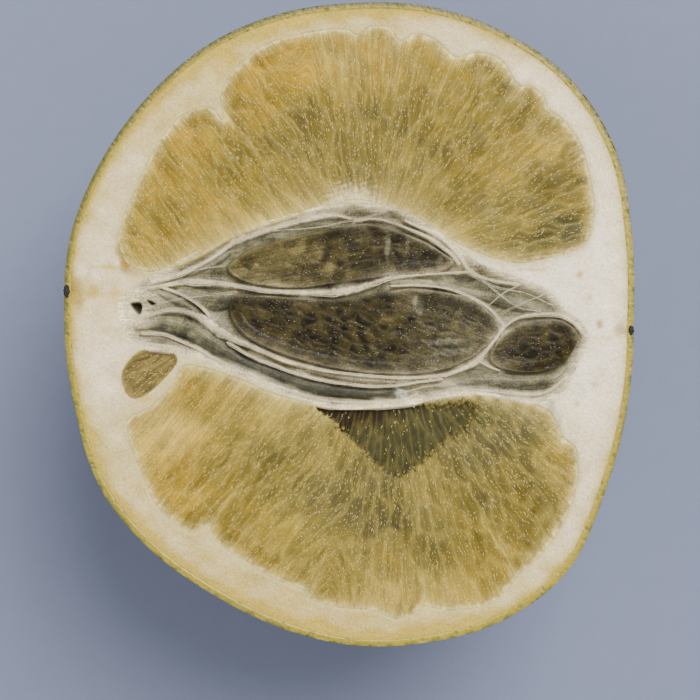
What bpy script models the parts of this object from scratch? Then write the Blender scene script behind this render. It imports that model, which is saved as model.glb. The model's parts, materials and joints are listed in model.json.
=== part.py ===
"""Half of a bergamot orange, cut lengthwise through stem and blossom ends.

The half lies on its rind with the cut face up. It is one grown piece, so it is one
solid: the rind and the pulp are the same body, and the relief of the cut face is cut
into its top.

Frame: metres, +Z up. The origin is the middle of the flat resting spot, +X points to
the blossom end, -X to the stem end, and the cut face is level, facing +Z.
"""

import math

import bmesh
import bpy
from mathutils import Vector

# ---------------------------------------------------------------- driving dimensions

POLAR_LENGTH = 0.0673         # stem end to blossom end
EQUATOR_WIDTH = 0.0760        # across the fruit, through its middle
UNDERSIDE_DEPTH = 0.0378      # cut face to the underside, before it flattens
REST_FLATTENING = 0.0008      # how much of the underside the resting spot takes off

PITH_SIDE = 0.0040            # rind and pith together, beside the pulp
PITH_AT_STEM = 0.0070         # the same at the lobes' stem ends
PITH_AT_BLOSSOM = 0.0055      # and at their blossom ends
CORE_TO_STEM = 0.0098         # pith between the core and the stem scar
CORE_TO_BLOSSOM = 0.0062      # and between the core and the blossom scar
MEMBRANE = 0.0010             # between the core and the pulp beside it

PULP_SINK = 0.0004            # pulp stands this far below the cut pith
GRAZE_DEPTH = 0.0024          # hollows where the knife grazed a segment
SLIT_DEPTH = 0.0034           # slits between whole segments
CORE_RISE = 0.0134            # from the core's axis to the left lobe, at the middle
CORE_FALL = 0.0098            # from the core's axis to its right edge, at the middle
LEFT_WEB = 0.0034             # pale web between the left lobe and the left segment
RIGHT_WEB = 0.0020            # and between the middle segment and the core's edge
POCKET_DRAFT = 0.0006         # how far the floor of a hollow draws in from its mouth

WEDGE_WIDTH = 0.0068          # loose wedge of pulp in the right lobe, beside the core
WEDGE_DEPTH = 0.0012
WEDGE_LIP = 0.0003            # how far it cuts past the lobe's inner edge
WEDGE_ENDS = (0.43, 0.79)     # as shares of that edge

CELL_LENGTH = 0.0066          # small stray cell of pulp in the pith near the stem
CELL_WIDTH = 0.0042
CELL_DEPTH = 0.0012
CELL_DROP = 0.0089            # its middle, below the core's stem end
CELL_LEAN = 38                # degrees from the fruit's length

STEM_SCAR_WIDTH = 0.0036
STEM_SCAR_DEPTH = 0.0009
BLOSSOM_SCAR_WIDTH = 0.0026
BLOSSOM_SCAR_DEPTH = 0.0006

# ------------------------------------------------------------------- derived places

CUT_HEIGHT = UNDERSIDE_DEPTH - REST_FLATTENING
HALF_LENGTH = POLAR_LENGTH / 2
HALF_WIDTH = EQUATOR_WIDTH / 2
CORE_START = CORE_TO_STEM - HALF_LENGTH
CORE_END = HALF_LENGTH - CORE_TO_BLOSSOM

# The core's axis leans: it leaves the stem scar above the middle line and ends a
# little below it. Its height is given at the stem end and at the blossom end.
AXIS_AT_STEM = 0.0039
AXIS_AT_BLOSSOM = -0.0008

# How far the fruit swells past a plain ellipse, every 15 degrees from the blossom end
# to the stem end. Its shoulders are square towards the blossom and it tapers to the
# stem, one side a little fuller than the other.
SWELL_STEP = 15
SWELL_LEFT = (0.998, 1.028, 1.080, 1.087, 1.056, 1.024, 0.996,
              0.994, 0.998, 0.998, 1.006, 1.014, 0.998)
SWELL_RIGHT = (0.998, 1.010, 1.038, 1.084, 1.066, 1.025, 0.996,
               0.972, 0.966, 0.988, 1.010, 0.996, 0.998)

# The hollows of the core, each a lens between two tips. A tip is a share of the core's
# length and a height over its axis; then come the lens's bow to the left of the line
# between its tips, its bow to the right, and its depth.
LEFT_TOP = CORE_RISE - LEFT_WEB
MIDDLE_BOTTOM = CORE_FALL - RIGHT_WEB
CORE_HOLLOWS = {
    "segment_left": ((0.18, 0.0022), (0.70, 0.0050), LEFT_TOP - 0.0036, 0.0010, GRAZE_DEPTH),
    "segment_middle": ((0.18, -0.0008), (0.81, -0.0008), 0.0022, MIDDLE_BOTTOM - 0.0008,
                       GRAZE_DEPTH),
    "segment_blossom": ((0.79, -0.0042), (0.99, -0.0010), 0.0030, 0.0032, GRAZE_DEPTH),
    "slit_right": ((0.00, -0.0030), (0.58, -CORE_FALL), -0.0004, 0.0030, SLIT_DEPTH),
    "slit_stem": ((0.08, 0.0010), (0.20, -0.0005), 0.0010, 0.0008, SLIT_DEPTH),
    "slit_blossom": ((0.68, 0.0040), (0.91, 0.0004), 0.0020, 0.0006, GRAZE_DEPTH),
}

# Where each lobe of pulp starts and ends, in degrees from the blossom end.
LEFT_LOBE_ENDS = (17.0, 164.0)
RIGHT_LOBE_ENDS = (28.0, 158.0)
LOBE_END_ROUND = 0.0020
LOBE_SCALLOPS = 8
SCALLOP_DEPTH = 0.0008

FLESH_COLOUR = (0.42, 0.33, 0.13)
FLESH_ROUGHNESS = 0.45

MESH_AROUND = 56              # fruit mesh: faces around the axis
MESH_ALONG = 40               # and from pole to pole
CUTTER_CLEARANCE = 0.0020     # how far a cutter stands out of the fruit


# --------------------------------------------------------------------- small helpers

def clear_scene():
    """Remove every object of the startup scene."""
    for old in list(bpy.data.objects):
        bpy.data.objects.remove(old)


def add_object(name, mesh):
    """Link a mesh to the scene as a named object."""
    thing = bpy.data.objects.new(name, mesh)
    bpy.context.scene.collection.objects.link(thing)
    return thing


def principled(name, colour, roughness, metallic):
    """A Principled material with plain values."""
    material = bpy.data.materials.new(name)
    material.use_nodes = True
    shader = material.node_tree.nodes["Principled BSDF"]
    shader.inputs["Base Color"].default_value = (*colour, 1.0)
    shader.inputs["Roughness"].default_value = roughness
    shader.inputs["Metallic"].default_value = metallic
    return material


def lerp(a, b, share):
    """The value a share of the way from a to b."""
    return a + (b - a) * share


# ------------------------------------------------------------------- the fruit's form

def swell(sides, angle):
    """Swelling at an angle in radians from the blossom end, read from a smooth curve."""
    place = math.degrees(angle) / SWELL_STEP
    index = min(int(place), len(sides) - 2)
    share = place - index
    before, here, there, after = (
        sides[min(max(index + k, 0), len(sides) - 1)] for k in (-1, 0, 1, 2)
    )
    slope_here = (there - before) / 2
    slope_there = (after - here) / 2
    return (
        here * (2 * share**3 - 3 * share**2 + 1)
        + there * (3 * share**2 - 2 * share**3)
        + slope_here * (share**3 - 2 * share**2 + share)
        + slope_there * (share**3 - share**2)
    )


def rind_point(angle, turn):
    """A point on the rind: angle from the blossom end, turn about the core's axis.

    A turn of 0 is the left edge of the cut face (+Y), pi its right edge (-Y).
    """
    side = (1 - math.cos(turn)) / 2
    grown = lerp(swell(SWELL_LEFT, angle), swell(SWELL_RIGHT, angle), side)
    return Vector((
        HALF_LENGTH * math.cos(angle) * grown,
        HALF_WIDTH * math.sin(angle) * math.cos(turn) * grown,
        UNDERSIDE_DEPTH * math.sin(angle) * math.sin(turn) * grown + CUT_HEIGHT,
    ))


def rind_edge(degrees):
    """Where the rind crosses the cut face, by an angle of -180 to 180 from +X."""
    angle = math.radians(abs(degrees))
    return rind_point(angle, 0.0 if degrees >= 0 else math.pi).to_2d()


def axis_height(x):
    """Height (Y) of the core's leaning axis on the cut face."""
    return lerp(AXIS_AT_STEM, AXIS_AT_BLOSSOM, (x + HALF_LENGTH) / POLAR_LENGTH)


def make_fruit():
    """The half fruit: a whole one is grown, halved at the cut and flattened below."""
    bm = bmesh.new()
    bmesh.ops.create_uvsphere(bm, u_segments=MESH_AROUND, v_segments=MESH_ALONG, radius=1.0)
    for vert in bm.verts:
        angle = math.acos(max(-1.0, min(1.0, vert.co.z)))
        turn = math.atan2(vert.co.y, vert.co.x)
        vert.co = rind_point(angle, turn)
    for height, normal in ((CUT_HEIGHT, (0, 0, 1)), (0.0, (0, 0, -1))):
        everything = bm.verts[:] + bm.edges[:] + bm.faces[:]
        cut = bmesh.ops.bisect_plane(
            bm, geom=everything, plane_co=(0, 0, height), plane_no=normal,
            dist=1e-7, clear_outer=True,
        )
        rim = [item for item in cut["geom_cut"] if isinstance(item, bmesh.types.BMEdge)]
        bmesh.ops.contextual_create(bm, geom=rim)
    bmesh.ops.recalc_face_normals(bm, faces=bm.faces[:])
    mesh = bpy.data.meshes.new("bergamot_half")
    bm.to_mesh(mesh)
    bm.free()
    mesh.shade_smooth()
    mesh.set_sharp_from_angle(angle=math.radians(35))
    return add_object("bergamot_half", mesh)


# --------------------------------------------------------- outlines on the cut face

def lens(start, end, rise, fall):
    """A closed outline between two tips, bowed by rise on its left and fall on its right."""
    steps = 16
    along = end - start
    across = Vector((-along.y, along.x)).normalized()

    def edge(bow, shares):
        return [start + along * share + across * bow * math.sin(math.pi * share)
                for share in shares]

    lower = edge(-fall, [step / steps for step in range(steps)])
    upper = edge(rise, [1 - step / steps for step in range(steps)])
    return lower + upper


def round_end(share):
    """Rises from 0 at both ends of a lobe to 1 inside it, like a quarter circle."""
    return math.sqrt(1 - abs(2 * share - 1) ** 6)


def lobe_edges(side, first, last, core_gap):
    """The outer and the inner edge of the pulp on one side of the core.

    side is 1 for the left lobe (+Y) and -1 for the right one; first and last are the
    angles in degrees where the lobe starts and ends, and core_gap is from the core's
    axis to the lobe, at its middle. The pith thickens to both ends, which are round,
    and the outer edge is scalloped where bundles of pulp meet.
    """
    steps = 72
    outer = []
    for step in range(steps + 1):
        share = step / steps
        edge = rind_edge(side * lerp(first, last, share))
        end_pith = PITH_AT_BLOSSOM if share < 0.5 else PITH_AT_STEM
        notch = (1 - abs(math.sin(math.pi * LOBE_SCALLOPS * share))) ** 2
        depth = lerp(end_pith, PITH_SIDE + SCALLOP_DEPTH * notch, round_end(share))
        outer.append(edge - edge.normalized() * depth)
    chord = outer[0] - outer[-1]
    middle = outer[-1] + chord / 2
    full_bow = axis_height(middle.x) + side * core_gap - middle.y + side * LOBE_END_ROUND
    inner = []
    for step in range(2, steps - 1, 2):
        share = step / steps
        bow = full_bow * math.sin(math.pi * share) ** 1.5
        bow -= side * LOBE_END_ROUND * round_end(share)
        inner.append(outer[-1] + chord * share + Vector((0.0, bow)))
    return outer, inner


def wedge(inner_edge):
    """The outline of the loose wedge of pulp that hangs from a lobe's inner edge."""
    first, last = (round(share * (len(inner_edge) - 1)) for share in WEDGE_ENDS)
    top = [point + Vector((0.0, WEDGE_LIP)) for point in inner_edge[first:last + 1]]
    steps = len(top) - 1
    bottom = []
    for step in range(1, steps):
        share = step / steps
        drop = Vector((0.0, WEDGE_WIDTH * math.sin(math.pi * share)))
        bottom.append(lerp(top[-1], top[0], share) - drop)
    return top + bottom


def core_point(share, offset):
    """A point by its share of the core's length and its height over the core's axis."""
    x = lerp(CORE_START, CORE_END, share)
    return Vector((x, axis_height(x) + offset))


# ------------------------------------------------------------------------- hollows

def pocket(fruit, name, outline, depth, draft):
    """Sink an outline into the cut face: its floor is smaller than its mouth by draft."""
    middle = sum(outline, Vector((0.0, 0.0))) / len(outline)
    levels = (
        (CUT_HEIGHT - depth, -draft),
        (CUT_HEIGHT, 0.0),
        (CUT_HEIGHT + CUTTER_CLEARANCE, 0.0),
    )
    bm = bmesh.new()
    loops = []
    for height, growth in levels:
        loop = []
        for point in outline:
            outward = (point - middle).normalized()
            spot = point + outward * growth
            loop.append(bm.verts.new((spot.x, spot.y, height)))
        loops.append(loop)
    bm.faces.new(loops[0])
    bm.faces.new(loops[-1])
    count = len(outline)
    for low, high in zip(loops, loops[1:]):
        for k in range(count):
            bm.faces.new((low[k], low[(k + 1) % count], high[(k + 1) % count], high[k]))
    bmesh.ops.recalc_face_normals(bm, faces=bm.faces[:])
    mesh = bpy.data.meshes.new(name)
    bm.to_mesh(mesh)
    bm.free()
    cut_away(fruit, add_object(name, mesh))


def scar(fruit, name, place, width, depth):
    """A round dimple in the rind, cut by a ball that stands out of it."""
    radius = (width**2 / 4 + depth**2) / (2 * depth)
    centre = place + Vector((math.copysign(radius - depth, place.x), 0.0))
    bm = bmesh.new()
    bmesh.ops.create_uvsphere(bm, u_segments=24, v_segments=16, radius=radius)
    bmesh.ops.translate(bm, verts=bm.verts[:], vec=(centre.x, centre.y, CUT_HEIGHT))
    mesh = bpy.data.meshes.new(name)
    bm.to_mesh(mesh)
    bm.free()
    cut_away(fruit, add_object(name, mesh))


def cut_away(fruit, cutter):
    """Take a cutter's shape out of the fruit with a Boolean modifier."""
    cutter.hide_render = True
    cutter.display_type = "WIRE"
    cut = fruit.modifiers.new(cutter.name, "BOOLEAN")
    cut.operation = "DIFFERENCE"
    cut.solver = "EXACT"
    cut.object = cutter


def sink_pulp(fruit):
    """The two big pulp lobes, and the loose wedge of the right one, a little deeper."""
    outer, inner = lobe_edges(1, *LEFT_LOBE_ENDS, CORE_RISE)
    pocket(fruit, "pulp_left", outer + inner, PULP_SINK, draft=0.0)
    outer, inner = lobe_edges(-1, *RIGHT_LOBE_ENDS, CORE_FALL + MEMBRANE)
    pocket(fruit, "pulp_right", outer + inner, PULP_SINK, draft=0.0)
    pocket(fruit, "wedge", wedge(inner), WEDGE_DEPTH, POCKET_DRAFT)


def sink_core(fruit):
    """The grazed segments and the slits of the core, each between its membranes."""
    for name, (first, last, rise, fall, depth) in CORE_HOLLOWS.items():
        outline = lens(core_point(*first), core_point(*last), rise, fall)
        pocket(fruit, name, outline, depth, POCKET_DRAFT)


def sink_stray_cell(fruit):
    """The small oval cell of pulp in the pith, under the core's stem end."""
    centre = core_point(0.0, -CELL_DROP)
    lean = math.radians(CELL_LEAN)
    outline = []
    steps = 20
    for step in range(steps):
        turn = 2 * math.pi * step / steps
        along = CELL_LENGTH / 2 * math.cos(turn)
        across = CELL_WIDTH / 2 * math.sin(turn)
        outline.append(centre + Vector((
            along * math.cos(lean) - across * math.sin(lean),
            along * math.sin(lean) + across * math.cos(lean),
        )))
    pocket(fruit, "stray_cell", outline, CELL_DEPTH, POCKET_DRAFT)


def mark_ends(fruit):
    """The stem scar and the blossom scar, where the core's axis meets the rind."""
    stem_angle = 180 - math.degrees(math.asin(AXIS_AT_STEM / HALF_WIDTH))
    blossom_angle = math.degrees(math.asin(AXIS_AT_BLOSSOM / HALF_WIDTH))
    scar(fruit, "stem_scar", rind_edge(stem_angle), STEM_SCAR_WIDTH, STEM_SCAR_DEPTH)
    scar(fruit, "blossom_scar", rind_edge(blossom_angle),
         BLOSSOM_SCAR_WIDTH, BLOSSOM_SCAR_DEPTH)


def main():
    """Build the half fruit."""
    clear_scene()
    fruit = make_fruit()
    flesh = principled("bergamot_flesh", FLESH_COLOUR, FLESH_ROUGHNESS, metallic=0.0)
    fruit.data.materials.append(flesh)
    sink_pulp(fruit)
    sink_core(fruit)
    sink_stray_cell(fruit)
    mark_ends(fruit)


main()
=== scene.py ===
"""Looks of a bergamot half: rind, pith, pulp and the open core of the cut face.

Laid out as an add-on, and run as a script: it builds every piece around the packed
frame, one operator for each, and then the stage.
"""

import json
import math

import bmesh
import bpy
import numpy as np
from bpy.props import FloatProperty, FloatVectorProperty, PointerProperty
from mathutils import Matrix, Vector

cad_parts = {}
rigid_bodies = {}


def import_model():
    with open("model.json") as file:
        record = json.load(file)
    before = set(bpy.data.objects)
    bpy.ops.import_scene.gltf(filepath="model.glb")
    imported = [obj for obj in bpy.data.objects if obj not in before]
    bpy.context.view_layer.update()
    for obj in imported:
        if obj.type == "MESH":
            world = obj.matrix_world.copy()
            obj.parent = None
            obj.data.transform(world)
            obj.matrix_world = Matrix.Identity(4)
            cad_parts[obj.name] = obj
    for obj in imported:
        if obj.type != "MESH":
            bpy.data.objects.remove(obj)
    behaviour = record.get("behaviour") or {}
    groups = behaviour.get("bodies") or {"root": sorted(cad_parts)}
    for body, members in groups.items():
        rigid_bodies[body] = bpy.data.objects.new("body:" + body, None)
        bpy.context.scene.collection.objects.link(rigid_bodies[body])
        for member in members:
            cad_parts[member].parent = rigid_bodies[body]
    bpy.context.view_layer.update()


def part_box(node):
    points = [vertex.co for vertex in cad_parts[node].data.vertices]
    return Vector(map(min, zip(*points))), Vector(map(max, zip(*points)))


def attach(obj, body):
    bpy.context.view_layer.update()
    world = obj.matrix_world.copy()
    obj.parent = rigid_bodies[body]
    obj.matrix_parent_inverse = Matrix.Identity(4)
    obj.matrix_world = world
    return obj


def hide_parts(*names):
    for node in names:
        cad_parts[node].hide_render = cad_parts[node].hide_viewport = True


bl_info = {
    "name": "Bergamot Half",
    "version": (1, 0, 0),
    "blender": (4, 5, 0),
    "location": "View3D > Sidebar > Bergamot",
    "description": "Builds a bergamot cut lengthwise, with its rind, pulp and open core",
    "category": "Add Mesh",
}

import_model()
NODE = "bergamot_half"
CAD_LOW, CAD_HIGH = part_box(NODE)
SEED = 11
MM = 0.001
CUT = CAD_HIGH[2] / MM

# ---------------------------------------------------------- outlines of the cut face
#
# All of them are in millimetres on the cut face, X to the blossom end and Y across.

# How far the fruit swells past a plain ellipse, every 15 degrees from the blossom end
# to the stem end, on its left (+Y) and on its right side.
SWELL_STEP = math.radians(15)
SWELL_LEFT = (0.998, 1.028, 1.080, 1.087, 1.056, 1.024, 0.996,
              0.994, 0.998, 0.998, 1.006, 1.014, 0.998)
SWELL_RIGHT = (0.998, 1.010, 1.038, 1.084, 1.066, 1.025, 0.996,
               0.972, 0.966, 0.988, 1.010, 0.996, 0.998)

# The left lobe of pulp, from its stem end over the scalloped outer edge and back
# along the core. Two points close together make a notch between bundles of sacs.
LEFT_LOBE = (
    (-27.3, 9.8), (-26.6, 12.9), (-25.4, 15.8), (-22.8, 21.1), (-20.1, 24.4),
    (-17.5, 25.7), (-15.9, 25.4), (-15.0, 24.2), (-15.3, 26.6), (-14.3, 29.3),
    (-12.2, 31.4), (-9.6, 33.2), (-4.4, 34.6), (-0.4, 34.9), (0.9, 34.3), (2.7, 35.3),
    (4.8, 35.0), (6.1, 33.6), (8.0, 34.4), (10.6, 33.4), (12.7, 31.6), (15.3, 32.2),
    (18.1, 31.1), (20.0, 28.4), (21.4, 28.2), (23.0, 27.0), (23.6, 25.5), (25.4, 24.1),
    (27.3, 21.4), (28.3, 18.2), (29.0, 14.5), (28.8, 11.7), (28.1, 9.6), (26.4, 8.5),
    (23.2, 7.6), (20.2, 7.1), (17.2, 7.6), (14.9, 8.5), (11.9, 9.9), (9.6, 11.5),
    (7.2, 12.9), (4.2, 13.9), (0.7, 14.6), (-2.2, 13.8), (-5.8, 12.7), (-10.5, 11.3),
    (-14.0, 9.9), (-17.6, 7.9), (-21.1, 6.5), (-24.1, 6.1), (-26.4, 7.3),
)
RIGHT_LOBE = (
    (-24.4, -10.2), (-26.2, -11.2), (-26.1, -13.7), (-25.4, -15.7), (-24.1, -18.9),
    (-22.8, -21.5), (-20.4, -23.8), (-18.3, -24.7), (-16.7, -23.9), (-16.0, -25.5),
    (-13.6, -27.3), (-11.4, -28.7), (-8.3, -30.4), (-5.7, -31.4), (-4.4, -32.7),
    (-0.9, -33.6), (2.7, -33.9), (5.4, -34.9), (7.4, -34.4), (8.9, -33.5),
    (11.9, -33.9), (15.9, -33.4), (18.5, -31.7), (20.2, -29.6), (22.5, -27.5),
    (24.7, -24.7), (26.0, -22.1), (27.0, -18.9), (27.1, -16.3), (26.7, -14.4),
    (25.4, -13.3), (24.4, -11.3), (23.1, -9.9), (20.2, -9.0), (16.6, -8.4),
    (14.3, -8.2), (10.7, -8.8), (6.0, -9.4), (-0.5, -9.7), (-4.0, -9.4), (-9.3, -8.0),
    (-12.9, -6.4), (-17.6, -4.9), (-19.9, -5.0), (-20.9, -7.0), (-22.9, -9.2),
)
WEDGE = (
    (-3.4, -9.6), (-1.9, -11.5), (0.1, -13.4), (2.7, -16.0), (5.6, -18.1), (8.4, -16.7),
    (11.9, -14.3), (14.3, -12.4), (15.5, -10.4), (14.5, -8.7), (10.7, -8.9), (6.0, -9.4),
)
STRAY_CELL = (
    (-26.5, -8.2), (-25.2, -9.0), (-23.2, -8.0), (-21.1, -5.9), (-20.1, -4.4),
    (-20.8, -3.2), (-23.0, -2.7), (-25.4, -3.5), (-27.0, -5.9),
)
CORE = (
    (-26.1, 4.0), (-22.3, 6.3), (-17.6, 8.7), (-14.0, 10.5), (-9.3, 12.2), (-4.6, 13.5),
    (-1.7, 14.2), (2.7, 14.2), (6.0, 13.4), (9.6, 11.6), (12.5, 9.4), (15.5, 7.2),
    (20.2, 5.4), (23.5, 4.0), (25.4, 1.8), (27.7, 0.0), (28.2, -2.1), (26.8, -5.4),
    (25.2, -8.2), (21.9, -9.4), (17.8, -8.8), (14.3, -8.4), (9.6, -9.0), (6.0, -9.7),
    (-1.1, -10.0), (-5.8, -9.0), (-10.5, -7.0), (-14.6, -5.4), (-19.4, -3.6),
    (-24.7, -2.7), (-27.0, 0.2), (-27.3, 2.6),
)

# Where the knife grazed the thin inner edge of a segment and opened its dark pulp.
GRAZED = {
    "left": (
        (-14.4, 6.6), (-12.9, 8.1), (-10.5, 9.3), (-5.8, 10.5), (-1.1, 11.4), (1.9, 11.9),
        (4.5, 11.4), (8.4, 10.0), (10.9, 8.6), (12.4, 7.3), (10.7, 6.1), (6.0, 5.7),
        (2.5, 5.3), (-2.2, 4.7), (-5.8, 4.2), (-9.9, 4.5), (-12.9, 5.2),
    ),
    "middle": (
        (-14.2, 1.9), (-13.3, 3.3), (-10.3, 3.4), (-5.8, 3.1), (-1.1, 2.9), (3.2, 3.6),
        (7.2, 4.2), (10.7, 3.9), (14.3, 3.1), (16.6, 1.5), (18.0, -0.4), (16.8, -2.0),
        (15.6, -3.2), (14.2, -4.2), (10.6, -5.6), (5.0, -6.0), (-1.7, -5.3), (-7.0, -3.9),
        (-11.1, -2.2), (-13.5, -0.2),
    ),
    "blossom": (
        (16.6, -4.0), (17.3, -2.3), (18.7, -0.7), (21.4, 0.4), (24.9, 0.5), (27.0, -1.1),
        (26.4, -3.3), (24.5, -5.2), (20.8, -5.9), (17.8, -5.2),
    ),
    # The slot and the hub hole and pit are holes, sunk deeper and painted fully dark as
    # painted shade.
    "slot": ((12.7, 5.4), (13.7, 5.75), (14.9, 5.3), (13.8, 5.0)),
    "hub_hole": ((-25.8, 2.4), (-24.7, 2.5), (-24.5, 1.8), (-24.8, 1.1), (-25.4, 1.6)),
    "hub_pit": ((-23.9, 2.8), (-23.2, 2.6), (-22.8, 2.2), (-23.4, 2.2)),
}

# Whole segments that lie below the cut: (X, Y, width) along the middle of each.
WHOLE = {
    "right": (
        (-25.0, -0.4, 0.7), (-23.7, 0.1, 1.6), (-22.1, 0.1, 2.3), (-19.6, -0.4, 2.8),
        (-17.6, -1.3, 2.9), (-14.6, -3.4, 2.3), (-12.9, -4.5, 2.0), (-10.5, -5.5, 2.1),
        (-8.0, -6.3, 2.0), (-4.7, -7.4, 2.0), (-1.1, -8.0, 1.6), (2.7, -8.3, 1.3),
        (6.0, -8.2, 1.1),
    ),
    "right_slit": (
        (-5.0, -5.4, 0.4), (-1.1, -6.3, 0.6), (2.5, -6.7, 0.6), (6.0, -6.8, 0.5),
        (9.0, -6.6, 0.3),
    ),
    "stem": (
        (-20.2, 3.9, 0.5), (-18.6, 3.4, 1.6), (-16.8, 2.9, 2.6), (-14.9, 2.9, 2.5),
        (-13.5, 3.6, 0.9),
    ),
    "stem_slit": (
        (-22.5, 3.8, 0.5), (-21.2, 3.3, 1.2), (-19.6, 2.5, 1.1), (-17.9, 1.5, 0.4),
    ),
    "left_slit": (
        (-19.5, 5.8, 0.3), (-17.6, 6.4, 0.6), (-15.5, 7.4, 0.8), (-14.2, 8.4, 0.5),
    ),
    "blossom": (
        (2.8, 5.1, 0.3), (6.0, 5.1, 0.8), (10.4, 4.7, 0.8), (13.0, 4.1, 0.8),
        (15.0, 3.5, 1.1), (17.1, 3.1, 1.5), (19.1, 2.6, 2.0), (21.1, 2.1, 1.7),
        (22.6, 1.6, 0.8),
    ),
    "right_blossom": (
        (10.4, -7.4, 0.6), (14.3, -6.9, 1.4), (17.8, -6.8, 1.8), (21.4, -7.0, 1.9),
        (24.4, -6.5, 1.4), (26.0, -4.9, 0.6),
    ),
    "right_stem": (
        (-24.4, -1.7, 0.7), (-21.8, -1.8, 1.0), (-19.2, -2.8, 1.2), (-17.3, -3.7, 0.6),
    ),
}

# Membranes cut edge-on: (X, Y, thickness) along each.
WEBS = {
    "left_outer": (
        (-23.2, 4.9, 0.6), (-20.4, 5.7, 0.8), (-17.9, 6.8, 0.7), (-15.5, 8.2, 0.7),
        (-13.8, 9.4, 0.7), (-9.3, 11.1, 0.8), (-4.6, 12.4, 0.8), (-1.7, 12.8, 0.7),
        (0.3, 12.4, 0.4),
    ),
    "left_top": (
        (1.0, 12.1, 0.3), (2.8, 12.4, 0.4), (4.9, 12.0, 0.4), (8.6, 10.6, 0.5),
        (10.4, 9.5, 0.6), (12.1, 8.2, 0.6), (13.0, 7.1, 0.5),
    ),
    "left_blossom": (
        (6.6, 12.2, 0.3), (10.5, 10.4, 0.5), (13.0, 8.0, 0.6), (14.3, 6.2, 0.6),
        (16.5, 5.2, 0.5), (20.0, 4.6, 0.4),
    ),
    "middle": (
        (-23.6, 4.2, 0.5), (-20.4, 4.8, 0.8), (-18.8, 5.0, 1.1), (-15.5, 4.8, 1.1),
        (-12.9, 4.4, 0.7), (-9.7, 3.9, 0.6), (-5.8, 3.7, 0.9), (-1.1, 3.8, 1.3),
        (2.5, 4.6, 1.0), (4.8, 5.4, 0.6), (8.4, 5.8, 0.4), (12.0, 6.0, 0.4),
        (14.2, 6.1, 0.3),
    ),
    "middle_blossom": (
        (5.0, 4.5, 0.3), (8.0, 4.6, 0.4), (11.5, 4.2, 0.4), (14.6, 3.0, 0.5),
        (16.8, 1.6, 0.5), (18.3, -0.3, 0.6),
    ),
    "right_inner": (
        (-24.8, 0.6, 0.5), (-21.2, 1.6, 0.7), (-18.8, 1.3, 0.9), (-17.1, 0.5, 1.4),
        (-15.5, -0.7, 1.6), (-13.8, -1.7, 1.2), (-12.2, -2.4, 0.9), (-9.7, -3.5, 0.7),
        (-7.2, -4.5, 0.7), (-3.9, -5.3, 0.6), (-1.1, -5.8, 0.5), (2.8, -6.2, 0.5),
        (6.9, -6.4, 0.5), (11.0, -6.1, 0.6), (13.0, -5.5, 0.7), (15.0, -4.5, 1.1),
        (16.0, -3.4, 0.8), (17.2, -1.9, 0.5), (18.3, -0.4, 0.6),
    ),
    "right_thin": (
        (-14.3, -2.2, 0.5), (-11.3, -4.0, 0.5), (-8.9, -4.9, 0.5), (-5.5, -6.1, 0.5),
        (-1.1, -7.0, 0.5), (2.5, -7.4, 0.4), (5.5, -7.3, 0.4), (8.2, -6.9, 0.5),
        (11.0, -6.5, 0.4),
    ),
    "right_outer": (
        (-24.5, -1.1, 0.5), (-22.1, -1.2, 0.5), (-20.4, -1.8, 0.5), (-17.9, -2.9, 0.6),
        (-16.3, -3.9, 0.6), (-14.6, -4.8, 0.6), (-12.2, -5.9, 0.6), (-9.7, -7.0, 0.7),
        (-7.2, -7.8, 0.6), (-3.9, -8.8, 0.5), (-1.1, -9.2, 0.5), (2.7, -9.3, 0.5),
        (6.0, -9.0, 0.4), (8.0, -8.3, 0.4),
    ),
    "stem_end": (
        (-25.6, -2.2, 0.5), (-22.9, -2.5, 0.5), (-20.4, -2.8, 0.5), (-18.6, -4.0, 0.6),
        (-16.0, -4.7, 0.5),
    ),
    "stem_rib": ((-22.0, 4.3, 0.4), (-19.6, 3.4, 0.4), (-17.7, 2.2, 0.4), (-16.4, 0.9, 0.6)),
    "blossom_top": (
        (18.3, -0.4, 0.5), (19.7, 0.6, 0.6), (21.4, 1.0, 0.7), (24.4, 1.1, 0.7),
        (26.5, 0.2, 0.5), (27.6, -1.2, 0.4),
    ),
    "blossom_foot": ((15.4, -4.4, 0.5), (16.5, -5.0, 0.25), (17.8, -5.5, 0.2)),
    "blossom_outer": (
        (12.0, -8.1, 0.3), (16.9, -7.9, 0.5), (18.8, -8.1, 0.8), (21.1, -8.3, 0.7),
        (23.6, -7.9, 0.6), (25.6, -6.3, 0.5),
    ),
}

# Fine fibres lying over the core: (X, Y) along each.
WISPS = (
    ((7.6, -9.9), (8.2, -9.3), (9.0, -8.9), (10.1, -7.9)),
    ((13.6, 6.2), (17.0, 4.4), (20.6, 3.6), (24.2, 2.2)),
    ((15.2, 5.6), (19.4, 2.2), (22.6, 1.4)),
    ((16.4, 2.2), (18.2, 3.6), (20.8, 4.9)),
    ((17.8, 1.2), (21.0, 2.6), (23.8, 3.8)),
    ((23.2, -8.6), (24.5, -9.8), (24.7, -11.6), (23.6, -12.8)),
    ((-24.6, 3.4), (-21.8, 5.6), (-18.4, 6.4), (-14.6, 6.8)),
    ((-24.4, 1.6), (-20.8, 2.8), (-17.4, 3.4), (-13.6, 3.6)),
    ((-9.0, 11.0), (-4.0, 11.4), (1.0, 12.3), (4.4, 13.2)),
    ((4.6, -7.0), (6.6, -8.0), (9.2, -7.4), (12.6, -7.2)),
)

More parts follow.
